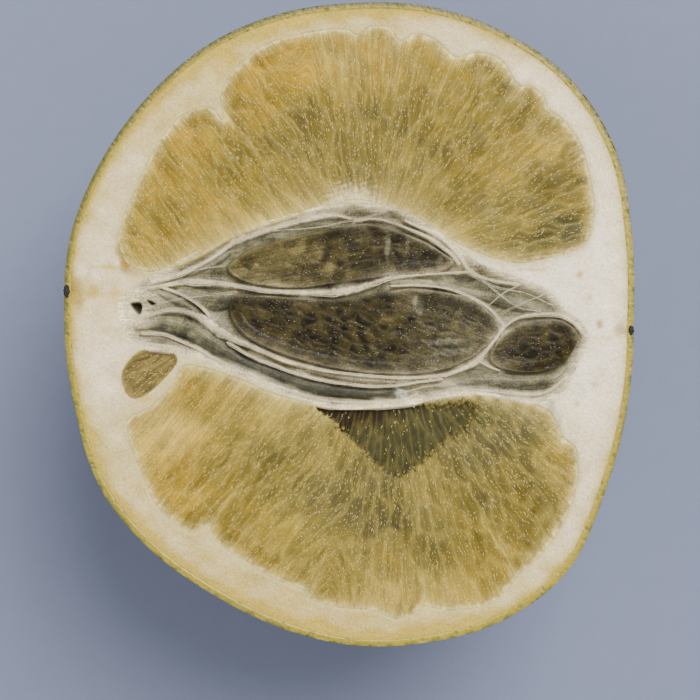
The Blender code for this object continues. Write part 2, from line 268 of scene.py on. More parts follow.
# How light and how pale the pulp is at places on each lobe: (X, Y, light, pale).
LEFT_TONES = (
    (-23, 9, .76, .12), (-20, 20, .87, .07), (-15, 12, .82, .15), (-14, 18, .54, 0),
    (-8, 30, .93, 0), (-5, 16, .55, .18), (-4, 23, .38, 0), (0, 32, .92, .29),
    (1, 19, .3, .05), (6, 31, .77, .18), (6, 24, .35, .03), (7, 17, .47, .23),
    (12, 28, .62, .05), (12, 21, .42, 0), (18, 27, .42, 0), (18, 20, .65, .08),
    (19, 12, .38, .15), (24, 21, .67, .15), (25, 15, .35, .03), (24, 10, .05, 0),
)
RIGHT_TONES = (
    (-22, -12, 1.2, .7), (-21, -19, .92, .09), (-18, -8, .88, .2), (-14, -20, .62, .11),
    (-10, -10, .7, .36), (-9, -17, .25, .06), (-9, -25, .63, .13), (-4, -14, .37, .22),
    (-2, -21, .05, .11), (-2, -28, .53, .16), (4, -22, -.08, .04), (4, -29, .50, .22),
    (5, -32, .82, .55), (9, -20, .32, .2), (10, -27, .2, .03), (12, -32, .83, .38),
    (15, -15, 0, .1), (15, -22, .38, .02), (17, -28, .73, .12), (20, -12, -.1, .1),
    (21, -19, .32, 0), (23, -25, .32, .02), (25, -16, .63, .26),
)
# How cream the white pith is at places round the rim: (X, Y, cream).
PITH_TONES = (
    (31, -3, 0), (29, 8, 0), (26, 25, .15), (14, 34, .4), (0, 36.5, .7), (-12, 33, .8),
    (-20, 27, .7), (-27, 15, .5), (-30, 6, .35), (-33, 3, .5), (-29, -3, .3),
    (-28, -17, .66), (-25, -21, .66), (-22, -26, .7), (-8, -34, .78), (1, -36, .78),
    (10, -36.5, .74), (20, -31, .5), (28, -20, .25), (0, 14, .3), (0, -10, .3),
)
# Coloured marks in the pith: (X, Y, length along X, width along Y, strength, kind).
STAINS = (
    (-32.4, 3.9, 4.2, 3.4, .75, "rust"), (-30.2, 4.0, 3.4, 2.6, .45, "gold"),
    (-28.1, 2.7, 4.4, 3.4, .40, "peach"), (-29.6, 3.5, 8.0, 1.2, .35, "gold"),
    (-27.0, 8.7, 1.2, 3.6, .85, "rust"), (-26.6, 7.4, 1.5, 2.4, .85, "rust"),
    (-25.7, 6.3, 2.6, 1.9, .60, "rust"), (-27.8, 6.7, 1.8, 1.2, .80, "gold"),
    (-28.9, 6.7, 2.4, 0.5, .60, "gold"), (-28.8, -0.8, 2.2, 1.1, .45, "gold"),
    (-25.0, 4.9, 2.6, 2.0, .40, "peach"), (32.3, -0.8, 2.4, 1.4, .6, "rust"),
    (30.0, -1.6, 5.0, 0.5, .35, "gold"), (27.3, 5.8, 0.9, 0.8, .8, "gold"),
    (28.4, 3.1, 0.8, 0.9, .8, "gold"), (29.6, -0.1, 0.8, 0.9, .7, "rust"),
    (29.0, -7.2, 0.9, 0.7, .7, "gold"), (21.6, 6.4, 3.4, 0.4, .7, "gold"),
    (2.0, 36.4, 14.0, 1.0, .4, "gold"), (-14.0, 30.0, 5.0, 4.0, .35, "gold"),
    (-23.9, -8.8, 1.7, 1.5, .75, "gold"), (-22.7, -9.9, 1.3, 1.1, .7, "gold"),
    (23.9, -10.0, 1.2, 3.0, .6, "grey"), (24.9, -11.2, 0.8, 1.8, .4, "grey"),
    (30.4, 9.4, 0.7, 0.7, .6, "gold"), (27.0, -9.4, 0.8, 0.6, .6, "gold"),
)

# Patches in the core: (X, Y, half length, half width, strength, kind). The sheen patches are
# pale films with painted sheen on them; the gleam is a painted highlight of a clear drop.
PATCHES = (
    (9.0, 7.4, 3.2, 0.9, .85, "opened_dark"), (-4.8, 6.4, 1.9, 1.1, .6, "brown"),
    (-8.4, 5.2, 2.0, 0.7, .6, "brown"), (2.6, 10.2, 1.2, 2.0, .35, "brown"),
    (20.4, -3.4, 3.8, 1.1, .8, "opened_dark"), (20.8, 0.3, 3.4, 0.6, .5, "sheen"),
    (11.2, -2.1, 2.6, 0.45, .75, "sheen"), (12.6, -3.3, 2.4, 0.5, .7, "sheen"),
    (8.2, 2.2, 0.7, 1.3, .6, "sheen"), (2.8, 0.8, 2.2, 1.3, .3, "brown"),
    (-9.0, -1.5, 2.5, 1.6, .4, "brown"), (4.6, 9.4, 0.35, 1.7, .5, "sheen"),
    (6.9, 9.0, 0.3, 1.4, .5, "sheen"), (6.2, -8.1, 0.9, 0.8, .9, "gleam"),
)

# The scars at the two ends: (name, end along X, Y, half width, how far it stands out).
SCARS = (("stem_scar", -1, 3.9, 0.75, 0.36), ("blossom_scar", 1, -0.75, 0.55, 0.32))

# Colours that are the same whatever the settings say.
OLIVE_FILM = (0.085, 0.073, 0.038)
AMBER_FILM = (0.100, 0.078, 0.025)
STRAY_COLOUR = (0.115, 0.083, 0.026)
STRAND_COLOUR = (0.62, 0.52, 0.30)
SCAR_COLOUR = (0.012, 0.008, 0.003)
SKY_COLOUR = (0.95, 0.98, 1.0, 1.0)
WHITE = (1, 1, 1, 1)
# How much paler than the pulp its palest streaks are.
STREAK_GAIN = (2.0, 1.9, 1.7, 1)

# The pale specks on the opened sacs, painted glints of their wet surface, against the
# slivers: how many, how long, how wide.
WET_GLINTS = (4, 0.45, 0.9)
# How far under the cut the hidden walls of the pieces go, and where their sacs end.
PULP_WALL, CORE_WALL, PITH_WALL, BURIED = 7.0, 7.5, 9.0, 3.5
# Between the points of a lattice.
PITH_SPACING, LOBE_SPACING, STRAY_SPACING, CORE_SPACING = 0.2, 0.17, 0.15, 0.13
FLOOR_HALF = 3

# ------------------------------------------------------------- lines and point meshes


def smooth(value):
    value = np.clip(value, 0.0, 1.0)
    return value * value * (3 - 2 * value)


def mix(first, second, share):
    share = np.asarray(share)[..., None] if np.ndim(first) == 2 else share
    return first + (np.asarray(second) - first) * share


def level(x, y):
    """Rows of x, y and a zero."""
    return np.stack([x, y, np.zeros(len(x))], 1)


def all_over(points, shade):
    """One colour, for every point."""
    return np.tile(shade, (len(points), 1))


def between(a, b, c, d, t):
    """A smooth curve through four values in a row, at a share t of the way b to c."""
    return b + t / 2 * (c - a + t * (2 * a - 5 * b + 4 * c - d
                                     + t * (3 * (b - c) + d - a)))


def line(points, step, closed=True):
    """A smooth line through points, cut into lengths of about step."""
    p = np.array(points, float)
    if closed:
        p = p[np.arange(-1, len(p) + 2) % len(p)]
    else:
        p = np.vstack([2 * p[0] - p[1], p, 2 * p[-1] - p[-2]])
    parts = []
    for a, b, c, d in zip(p, p[1:], p[2:], p[3:]):
        count = max(1, round(float(np.linalg.norm((c - b)[:2])) / step))
        t = (np.arange(count) / count)[:, None]
        parts.append(between(a, b, c, d, t))
    if not closed:
        parts.append(p[-2:-1])
    return np.vstack(parts)


def nearest(xy, start, end):
    """For every point the nearest place on a chain of edges: (point, edge, share)."""
    run = end - start
    (from_x, from_y), (run_x, run_y) = start.T.astype("f4"), run.T.astype("f4")
    square = np.maximum(run_x ** 2 + run_y ** 2, 1e-9)
    edges, shares = [], []
    for first in range(0, len(xy), 4000):
        x, y = xy[first:first + 4000].T.astype("f4")
        x, y = x[:, None] - from_x, y[:, None] - from_y
        share = np.clip((x * run_x + y * run_y) / square, 0, 1)
        x -= share * run_x
        y -= share * run_y
        edge = (x * x + y * y).argmin(1)
        edges.append(edge)
        shares.append(share[np.arange(len(edge)), edge].astype(float))
    edges, shares = np.concatenate(edges), np.concatenate(shares)
    return start[edges] + shares[:, None] * run[edges], edges, shares


def depth_in(xy, outline):
    """How deep every point lies in a closed outline, and the way that depth grows."""
    start, end = outline, np.roll(outline, -1, 0)
    spot, _, _ = nearest(xy, start, end)
    inside = np.zeros(len(xy), bool)
    for (ax, ay), (bx, by) in zip(start, end):
        if ay != by:
            crosses = (ay <= xy[:, 1]) != (by <= xy[:, 1])
            inside ^= crosses & (xy[:, 0] < ax + (xy[:, 1] - ay) * (bx - ax) / (by - ay))
    gap = (xy - spot) * np.where(inside, 1, -1)[:, None]
    depth = np.linalg.norm(gap, axis=1)
    return depth * np.where(inside, 1, -1), gap / np.maximum(depth, 1e-9)[:, None]


def beside(xy, path):
    """Where points lie by a path of (X, Y, width): in half widths, left positive, in
    millimetres from its middle, and in millimetres along it."""
    flat = path[:, :2]
    spot, edge, share = nearest(xy, flat[:-1], flat[1:])
    run = flat[edge + 1] - flat[edge]
    gap = xy - spot
    side = np.sign(run[:, 0] * gap[:, 1] - run[:, 1] * gap[:, 0])
    reach = np.linalg.norm(gap, axis=1)
    half = (path[edge, 2] + share * (path[edge + 1, 2] - path[edge, 2])) / 2
    steps = np.linalg.norm(np.diff(flat, axis=0), axis=1)
    along = np.concatenate([[0], np.cumsum(steps)])[edge] + share * steps[edge]
    return side * reach / half, side * reach, along


def waves(xy, size, seed):
    """Soft uneven waves about size millimetres long, roughly from -1 to 1."""
    rng = np.random.default_rng(seed)
    total = np.zeros(len(xy))
    for _ in range(9):
        turn, phase = rng.uniform(0, math.tau, 2)
        rate = math.tau / (size * rng.uniform(0.7, 1.6))
        total += np.sin(rate * (xy @ (math.cos(turn), math.sin(turn))) + phase)
    return total / 4


def blend_places(xy, places):
    """The values given at places, blended between them."""
    places = np.array(places, float)
    gap = ((xy[:, None] - places[:, :2]) ** 2).sum(-1)
    weight = 1 / (gap + 4) ** 2
    return (weight @ places[:, 2:]) / weight.sum(1)[:, None]


def lattice(edges, spacing):
    """Points and triangles that fill a region. Each edge is (outline, side, reach): the
    region lies within the outline for side 1, outside it for -1, grown by reach."""
    low, high = edges[0][0].min(0) - spacing, edges[0][0].max(0) + spacing
    columns = int((high[0] - low[0]) / spacing) + 2
    rows = int((high[1] - low[1]) / (spacing * math.sqrt(0.75))) + 2
    column, row = np.meshgrid(np.arange(columns), np.arange(rows))
    xy = np.stack([low[0] + spacing * (column + 0.5 * (row % 2)),
                   low[1] + spacing * math.sqrt(0.75) * row], -1).reshape(-1, 2)
    room = np.full(len(xy), 1e9)
    way = np.zeros_like(xy)
    for outline, side, reach in edges:
        depth, deeper = depth_in(xy, outline)
        depth = depth * side + reach
        closer = depth < room
        room[closer] = depth[closer]
        way[closer] = deeper[closer] * side
    snap = np.abs(room) < spacing / 2
    xy[snap] -= way[snap] * room[snap, None]
    keep = (room > -spacing / 2).reshape(rows, columns)
    index = np.arange(rows * columns).reshape(rows, columns)
    a, b, c, d = index[:-1, :-1], index[:-1, 1:], index[1:, :-1], index[1:, 1:]
    odd = (np.arange(rows - 1) % 2 == 1)[:, None]
    first = np.where(odd[..., None], np.stack([a, b, d], -1), np.stack([a, b, c], -1))
    second = np.where(odd[..., None], np.stack([a, d, c], -1), np.stack([b, d, c], -1))
    faces = np.vstack([first.reshape(-1, 3), second.reshape(-1, 3)])
    faces = faces[keep.reshape(-1)[faces].all(1)]
    corner = xy[faces]
    edge1, edge2 = corner[:, 1] - corner[:, 0], corner[:, 2] - corner[:, 0]
    faces = faces[edge1[:, 0] * edge2[:, 1] - edge1[:, 1] * edge2[:, 0]
                  > 0.02 * spacing ** 2]
    used = np.unique(faces)
    renumber = np.zeros(len(xy), int)
    renumber[used] = np.arange(len(used))
    return xy[used], renumber[faces]


def rows_of(array):
    return np.ascontiguousarray(array, np.float32).reshape(-1)


def make_mesh(name, points, faces):
    mesh = bpy.data.meshes.new(name)
    mesh.from_pydata(points.tolist(), [], faces.tolist())
    return mesh


def walls(mesh, steps, pick=None):
    """Closes a surface below: each loose edge goes down through steps, functions that
    move its points, and what stays open is filled."""
    bm = bmesh.new()
    bm.from_mesh(mesh)
    ring = [edge for edge in bm.edges if edge.is_boundary]
    if pick:
        middle = np.array([(edge.verts[0].co + edge.verts[1].co) / 2 for edge in ring])
        ring = [edge for edge, wanted in zip(ring, pick(middle[:, :2] / MM)) if wanted]
    for step in steps:
        made = bmesh.ops.extrude_edge_only(bm, edges=ring)["geom"]
        ring = [item for item in made if isinstance(item, bmesh.types.BMEdge)
                and item.is_boundary]
        fresh = [item for item in made if isinstance(item, bmesh.types.BMVert)]
        places = step(np.array([vert.co for vert in fresh]))
        for vert, place in zip(fresh, places):
            vert.co = place
    if ring:
        bmesh.ops.triangle_fill(bm, use_beauty=False, edges=ring)
    bmesh.ops.triangulate(bm, faces=[face for face in bm.faces if len(face.verts) > 3])
    bmesh.ops.recalc_face_normals(bm, faces=bm.faces)
    bm.to_mesh(mesh)
    bm.free()


def places_of(mesh):
    points = np.empty(len(mesh.vertices) * 3, np.float32)
    mesh.vertices.foreach_get("co", points)
    return points.reshape(-1, 3).astype(float)


def keep_values(mesh, **values):
    """Stores a value for every point: a colour, a vector or a number."""
    for name, value in values.items():
        if name == "tint":
            item = mesh.color_attributes.new(name=name, type="FLOAT_COLOR", domain="POINT")
            item.data.foreach_set("color", rows_of(np.hstack(
                [np.clip(value, 0, 4), np.ones((len(value), 1))])))
        elif np.ndim(value) == 2:
            item = mesh.attributes.new(name=name, type="FLOAT_VECTOR", domain="POINT")
            item.data.foreach_set("vector", rows_of(value))
        else:
            item = mesh.attributes.new(name=name, type="FLOAT", domain="POINT")
            item.data.foreach_set("value", rows_of(value))


def place(name, mesh, slot):
    """Puts a finished piece in the scene and fastens it to the frame."""
    if not mesh.polygons:
        raise RuntimeError(f"{name} came out empty")
    mesh.polygons.foreach_set("use_smooth", np.ones(len(mesh.polygons), bool))
    piece = bpy.data.objects.new(name, mesh)
    bpy.context.scene.collection.objects.link(piece)
    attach(piece, "root")
    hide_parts(NODE)
    return piece


def half_sizes():
    """Half the length and the width of the fruit, and its depth, in mm."""
    size = bpy.context.scene.bergamot_fruit
    return np.array([size.half_length, size.half_width, size.half_depth]) / MM


def swell_at(turn, from_left):
    """The swell of the fruit at a turn from the blossom end, between its two sides."""
    both = []
    for table in (SWELL_LEFT, SWELL_RIGHT):
        table = np.array((table[0],) + table + (table[-1],))
        step = np.clip(turn / SWELL_STEP, 0, 12)
        i = np.minimum(step.astype(int), 11)
        t = step - i
        both.append(between(table[i], table[i + 1], table[i + 2], table[i + 3], t))
    return both[0] + (both[1] - both[0]) * from_left


def skin_point(way, inset=0.0):
    """Where the skin of the fruit is along unit directions, less an inset, in mm."""
    turn = np.arccos(np.clip(way[:, 0], -1, 1))
    spin = np.arctan2(way[:, 2], way[:, 1])
    swell = swell_at(turn, (1 - np.cos(spin)) / 2)
    point = way * (half_sizes() - inset) * swell[:, None]
    point[:, 2] = np.maximum(point[:, 2], inset - CUT)
    return point


def rim(count, inset=0.0):
    """The outline of the cut face, anticlockwise seen from above, in mm."""
    turn = np.arange(count) / count * math.tau
    return skin_point(level(np.cos(turn), np.sin(turn)), inset)[:, :2]


# ------------------------------------------------------------------ node tree helpers


def fill(tree, item, inputs):
    """Links or fills in the inputs of a node."""
    for key, value in dict(inputs).items():
        if isinstance(value, bpy.types.NodeSocket):
            tree.links.new(value, item.inputs[key])
        else:
            item.inputs[key].default_value = value


def add(tree, kind, inputs=(), **settings):
    """Adds a node, with its settings, and its inputs linked or filled in."""
    item = tree.nodes.new(kind)
    for name, value in settings.items():
        setattr(item, name, value)
    fill(tree, item, inputs)
    return item


def calc(tree, operation, *values):
    return add(tree, "ShaderNodeMath", dict(enumerate(values)),
               operation=operation).outputs[0]


def vector_calc(tree, operation, *values):
    return add(tree, "ShaderNodeVectorMath", dict(enumerate(values)),
               operation=operation).outputs[0]


def scaled(tree, vector, by):
    return add(tree, "ShaderNodeVectorMath", {0: vector, "Scale": by},
               operation="SCALE").outputs[0]


def painted(tree, name, output="Fac"):
    """A value kept on the mesh, as a material reads it."""
    return add(tree, "ShaderNodeAttribute", attribute_name=name).outputs[output]


def span(tree, value, low, high, start=0.0, end=1.0):
    """A value carried softly from one range to another, and held at its ends."""
    return add(tree, "ShaderNodeMapRange", {0: value, 1: low, 2: high, 3: start, 4: end},
               interpolation_type="SMOOTHSTEP").outputs[0]


def blend_colour(tree, share, first, second, mode="MIX"):
    return add(tree, "ShaderNodeMix", {0: share, 6: first, 7: second}, data_type="RGBA",
               blend_type=mode).outputs[2]


def new_group(name, kind, inputs, outputs):
    """A node group: (tree, its input node, a function that links its outputs)."""
    tree = bpy.data.node_groups.new(name, kind)
    for label, socket, value in inputs:
        made = tree.interface.new_socket(label, in_out="INPUT", socket_type=socket)
        if value is not None:
            made.default_value = value
    for label, socket in outputs:
        tree.interface.new_socket(label, in_out="OUTPUT", socket_type=socket)
    exit_node = tree.nodes.new("NodeGroupOutput")

    def finish(**results):
        for label, value in results.items():
            tree.links.new(value, exit_node.inputs[label])
        return tree

    return tree, tree.nodes.new("NodeGroupInput").outputs, finish


def use_group(tree, group, **inputs):
    return add(tree, "ShaderNodeGroup", inputs, node_tree=group).outputs


FLOAT, COLOUR = "NodeSocketFloat", "NodeSocketColor"
GEOMETRY, MATERIAL = "NodeSocketGeometry", "NodeSocketMaterial"

# --------------------------------------------------------------- shared shader groups


def shared(name):
    """A shared node group, built the first time it is asked for."""
    return bpy.data.node_groups.get(name) or GROUPS[name](name)


def grain_group(name):
    """Soft mottling and a fine grain over a colour, with a height for it."""
    tree, given, finish = new_group(name, "ShaderNodeTree", (
        ("Color", COLOUR, WHITE), ("Mottle", FLOAT, 0.15), ("Grain", FLOAT, 0.15),
        ("Size", FLOAT, 1.0)), (("Color", COLOUR), ("Height", FLOAT)))
    spot = scaled(tree, add(tree, "ShaderNodeTexCoord").outputs["Object"],
                  calc(tree, "DIVIDE", 1 / MM, given["Size"]))
    broad = add(tree, "ShaderNodeTexNoise", {"Vector": spot, "Scale": 0.35, "Detail": 3.0})
    fine = add(tree, "ShaderNodeTexNoise", {
        "Vector": spot, "Scale": 4.5, "Detail": 4.0, "Roughness": 0.7})
    cell = add(tree, "ShaderNodeTexVoronoi", {"Vector": spot, "Scale": 1.6})
    tone = calc(tree, "MULTIPLY", calc(tree, "SUBTRACT", broad.outputs[0], 0.5),
                calc(tree, "MULTIPLY", given["Mottle"], 4.0))
    wet_glint = calc(tree, "MULTIPLY", calc(tree, "SUBTRACT", fine.outputs[0], 0.5),
                 calc(tree, "MULTIPLY", given["Grain"], 4.0))
    light = calc(tree, "ADD", 1.0, calc(tree, "ADD", tone, wet_glint))
    light = calc(tree, "MAXIMUM", light, 0.2)
    colour = blend_colour(tree, 1.0, given["Color"], light, "MULTIPLY")
    height = calc(tree, "ADD", fine.outputs[0],
                  calc(tree, "MULTIPLY", cell.outputs["Distance"], 0.6))
    return finish(Color=colour, Height=height)


def fibre_group(name):
    """Thin streaks that follow the fibres of a piece."""
    tree, given, finish = new_group(name, "ShaderNodeTree", (
        ("Color", COLOUR, WHITE), ("Pale", COLOUR, WHITE),
        ("Width", FLOAT, 0.25), ("Length", FLOAT, 3.0), ("Amount", FLOAT, 0.3)),
        (("Color", COLOUR), ("Height", FLOAT)))
    parts = add(tree, "ShaderNodeSeparateXYZ",
                {0: painted(tree, "fibre", "Vector")}).outputs
    spot = add(tree, "ShaderNodeCombineXYZ", {
        0: calc(tree, "DIVIDE", parts[0], given["Width"]),
        1: calc(tree, "DIVIDE", parts[1], given["Length"])}).outputs[0]
    thin = add(tree, "ShaderNodeTexNoise", {
        "Vector": spot, "Scale": 1.0, "Detail": 4.0, "Roughness": 0.65, "Distortion": 0.3})
    wide = add(tree, "ShaderNodeTexNoise", {"Vector": spot, "Scale": 0.22, "Detail": 2.0})
    shade = span(tree, thin.outputs[0], 0.3, 0.7, 0.62, 1.35)
    shade = calc(tree, "MULTIPLY", shade, span(tree, wide.outputs[0], 0.3, 0.7, 0.8, 1.2))
    colour = blend_colour(tree, given["Amount"], given["Color"], blend_colour(
        tree, 1.0, given["Color"], shade, "MULTIPLY"))
    pale = calc(tree, "MULTIPLY", span(tree, thin.outputs[0], 0.6, 0.74),
                given["Amount"])
    colour = blend_colour(tree, pale, colour, given["Pale"])
    return finish(Color=colour, Height=thin.outputs[0])


def sac_group(name):
    """The tone of each juice sac and the pale walls between them."""
    tree, given, finish = new_group(name, "ShaderNodeTree", (
        ("Color", COLOUR, WHITE), ("Wall", COLOUR, WHITE),
        ("Tone", FLOAT, 0.3), ("Walls", FLOAT, 0.4)), (("Color", COLOUR),))
    edge, tone, mask = [painted(tree, name)
                        for name in ("sac_edge", "sac_tone", "sac_mask")]
    swing = calc(tree, "MULTIPLY", calc(tree, "SUBTRACT", tone, 0.5), given["Tone"])
    light = calc(tree, "ADD", 1.0, calc(tree, "MULTIPLY", swing, mask))
    colour = blend_colour(tree, 1.0, given["Color"], light, "MULTIPLY")
    wall = calc(tree, "MULTIPLY", span(tree, edge, 0.0, 0.22, 1.0, 0.0), given["Walls"])
    wall = calc(tree, "MULTIPLY", wall, mask)
    return finish(Color=blend_colour(tree, wall, colour, given["Wall"]))


def gland_group(name):
    """Oil glands: dots of another colour, large and small, with a height."""
    tree, given, finish = new_group(name, "ShaderNodeTree", (
        ("Color", COLOUR, WHITE), ("Dot", COLOUR, WHITE),
        ("Spacing", FLOAT, 0.8), ("Amount", FLOAT, 0.5)),
        (("Color", COLOUR), ("Height", FLOAT)))
    spot = scaled(tree, add(tree, "ShaderNodeTexCoord").outputs["Object"],
                  calc(tree, "DIVIDE", 1 / MM, given["Spacing"]))
    cells = add(tree, "ShaderNodeTexVoronoi", {"Vector": spot, "Scale": 1.0})
    small = add(tree, "ShaderNodeTexVoronoi", {"Vector": spot, "Scale": 2.3})
    tone = add(tree, "ShaderNodeSeparateColor", {0: cells.outputs["Color"]}).outputs[0]
    dot = span(tree, cells.outputs["Distance"], 0.12, 0.42, 1.0, 0.0)
    dot = calc(tree, "MULTIPLY", dot, span(tree, tone, 0.0, 1.0, 0.35, 1.0))
    fleck = span(tree, small.outputs["Distance"], 0.1, 0.4, 0.4, 0.0)
    amount = calc(tree, "MULTIPLY", calc(tree, "MAXIMUM", dot, fleck), given["Amount"])
    height = calc(tree, "ADD", calc(tree, "MULTIPLY", dot, -1.0),
                  calc(tree, "MULTIPLY", small.outputs["Distance"], 0.35))
    return finish(Color=blend_colour(tree, amount, given["Color"], given["Dot"]),
                  Height=height)


GROUPS = {"Grain": grain_group, "Fibres": fibre_group, "Sacs": sac_group,
          "Glands": gland_group}

# ------------------------------------------------------------------------- materials


def flesh(name, colour, height, bump, roughness, coat=0.0, soft=0.0, reach=0.001,
          shine=0.35):
    """A material on a tree: colour(tree, tint) gives its colour and height sockets."""
    material = bpy.data.materials.get(name)
    if material:
        return material
    material = bpy.data.materials.new(name)
    material.use_nodes = True
    tree = material.node_tree
    shader = tree.nodes["Principled BSDF"]
    base, rise = colour(tree, painted(tree, "tint", "Color"))
    raised = add(tree, "ShaderNodeBump", {
        "Height": rise, "Strength": bump, "Distance": height})
    fill(tree, shader, {
        "Base Color": base, "Normal": raised.outputs[0], "Roughness": roughness,
        "Coat Weight": coat, "Coat Roughness": 0.2, "Specular IOR Level": shine,
        "Subsurface Weight": soft, "Subsurface Radius": (1.0, 0.7, 0.35),
        "Subsurface Scale": reach})
    return material


def opaque(colour):
    return (*colour, 1.0)


def pulp_material(name, length, look, bump, coat, mottle, grain=0.28):
    def colour(tree, tint):
        sacs = use_group(tree, shared("Sacs"), Color=tint, Wall=opaque(look.wall_colour),
                         Tone=look.sac_tone, Walls=look.wall_strength)
        pale = blend_colour(tree, 1.0, tint, STREAK_GAIN, "MULTIPLY")
        streaks = use_group(tree, shared("Fibres"), Color=sacs["Color"], Pale=pale,
                            Width=look.fibre_width, Length=length,
                            Amount=look.fibre_strength)
        mottled = use_group(tree, shared("Grain"), Color=streaks["Color"],
                            Mottle=mottle, Grain=grain, Size=1.0)
        return mottled["Color"], calc(tree, "ADD", streaks["Height"], mottled["Height"])

    return flesh(name, colour, 0.0002, bump, 0.42, coat=coat, soft=0.2, reach=0.0006,
                 shine=0.08)


def pith_material():
    def colour(tree, tint):
        sponge = use_group(tree, shared("Grain"), Color=tint, Mottle=0.10, Grain=0.34,
                           Size=1.0)
        return sponge["Color"], sponge["Height"]

    return flesh("pith", colour, 0.0003, 0.6, 0.7, soft=0.35, reach=0.0015)


def rind_material(look):
    def colour(tree, tint):
        dots = use_group(tree, shared("Glands"), Color=tint, Dot=opaque(look.gland_colour),
                         Spacing=look.gland_spacing / MM, Amount=0.55)
        mottled = use_group(tree, shared("Grain"), Color=dots["Color"], Mottle=0.1,
                            Grain=0.06, Size=3.0)
        return mottled["Color"], calc(tree, "ADD", dots["Height"], calc(
            tree, "MULTIPLY", mottled["Height"], 0.2))

    return flesh("rind", colour, 0.0002, 0.7, 0.42, coat=0.25, soft=0.1, reach=0.0008)


def plain_material(name, shade, roughness, coat=0.0, soft=0.0):
    """A material for small pieces, its colour broken up by the shared grain."""
    def colour(tree, _):
        grain = use_group(tree, shared("Grain"), Color=opaque(shade), Mottle=0.2,
                          Grain=0.25, Size=0.7)
        return grain["Color"], grain["Height"]

    return flesh(name, colour, 0.0001, 0.4, roughness, coat=coat, soft=soft)

# -------------------------------------------------------------------- geometry nodes


def named(tree, name, kind="FLOAT"):
    return add(tree, "GeometryNodeInputNamedAttribute", {"Name": name},
               data_type=kind).outputs[0]


def store(tree, geometry, name, value):
    item = add(tree, "GeometryNodeStoreNamedAttribute", {
        "Geometry": geometry, "Name": name}, data_type="FLOAT", domain="POINT")
    tree.links.new(value, item.inputs["Value"])
    return item.outputs[0]


def end_tree(tree, finish, geometry, material):
    geometry = add(tree, "GeometryNodeRealizeInstances", {0: geometry}).outputs[0]
    return finish(Geometry=add(tree, "GeometryNodeSetMaterial", {
        "Geometry": geometry, "Material": material}).outputs[0])


def sac_tree():
    """Grooves between the juice sacs, along the fibres of a piece."""
    tree, given, finish = new_group("Sac Relief", "GeometryNodeTree", (
        ("Geometry", GEOMETRY, None), ("Sac Width", FLOAT, 1.0),
        ("Sac Length", FLOAT, 4.0), ("Groove", FLOAT, 0.0002), ("Seed", FLOAT, 0.0),
        ("Material", MATERIAL, None)), (("Geometry", GEOMETRY),))
    fibre = named(tree, "fibre", "FLOAT_VECTOR")
    drift = add(tree, "ShaderNodeTexNoise", {"Vector": fibre, "Scale": 0.4, "Detail": 1.0})
    bent = vector_calc(tree, "ADD", fibre, vector_calc(
        tree, "MULTIPLY", drift.outputs["Color"], (1.2, 2.5, 0.0)))
    size = add(tree, "ShaderNodeCombineXYZ", {
        0: given["Sac Width"], 1: given["Sac Length"], 2: 1.0}).outputs[0]
    spot = vector_calc(tree, "ADD", vector_calc(tree, "DIVIDE", bent, size),
                       add(tree, "ShaderNodeCombineXYZ", {
                           0: given["Seed"], 1: given["Seed"]}).outputs[0])
    walls_at = add(tree, "ShaderNodeTexVoronoi", {"Vector": spot, "Scale": 1.0},
                   voronoi_dimensions="2D", feature="DISTANCE_TO_EDGE")
    cells = add(tree, "ShaderNodeTexVoronoi", {"Vector": spot, "Scale": 1.0},
                voronoi_dimensions="2D")
    edge = walls_at.outputs["Distance"]
    tone = add(tree, "FunctionNodeSeparateColor", {
        0: cells.outputs["Color"]}).outputs[0]
    full = calc(tree, "ADD", calc(tree, "MULTIPLY", span(tree, edge, 0.0, 0.3), 0.75),
                calc(tree, "MULTIPLY", tone, 0.5))
    rise = calc(tree, "MULTIPLY", calc(tree, "SUBTRACT", full, 1.0), calc(
        tree, "MULTIPLY", given["Groove"], named(tree, "sac_mask")))
    offset = add(tree, "ShaderNodeCombineXYZ", {2: rise}).outputs[0]
    geometry = store(tree, given["Geometry"], "sac_edge", edge)
    geometry = store(tree, geometry, "sac_tone", tone)
    geometry = add(tree, "GeometryNodeSetPosition", {
        "Geometry": geometry, "Offset": offset}).outputs[0]
    return end_tree(tree, finish, geometry, given["Material"])


def dimple_tree():
    """Shallow dimples over the oil glands of the rind."""
    tree, given, finish = new_group("Gland Dimples", "GeometryNodeTree", (
        ("Geometry", GEOMETRY, None), ("Spacing", FLOAT, 0.0008),
        ("Depth", FLOAT, 0.0001), ("Seed", FLOAT, 0.0),
        ("Material", MATERIAL, None)), (("Geometry", GEOMETRY),))
    spot = add(tree, "GeometryNodeInputPosition").outputs[0]
    rate = calc(tree, "DIVIDE", 1.0, given["Spacing"])
    cells = add(tree, "ShaderNodeTexVoronoi", {
        "Vector": spot, "W": given["Seed"], "Scale": rate}, voronoi_dimensions="4D")
    broad = add(tree, "ShaderNodeTexNoise", {
        "Vector": spot, "Scale": 260.0, "Detail": 2.0})
    dimple = span(tree, cells.outputs["Distance"], 0.15, 0.6, -1.0, 0.3)
    lump = calc(tree, "MULTIPLY", calc(tree, "SUBTRACT", broad.outputs[0], 0.5), 3.0)
    rise = calc(tree, "MULTIPLY", calc(tree, "ADD", dimple, lump), calc(
        tree, "MULTIPLY", given["Depth"], named(tree, "outside")))
    offset = scaled(tree, add(tree, "GeometryNodeInputNormal").outputs[0], rise)
    geometry = add(tree, "GeometryNodeSetPosition", {
        "Geometry": given["Geometry"], "Offset": offset}).outputs[0]
    return end_tree(tree, finish, geometry, given["Material"])


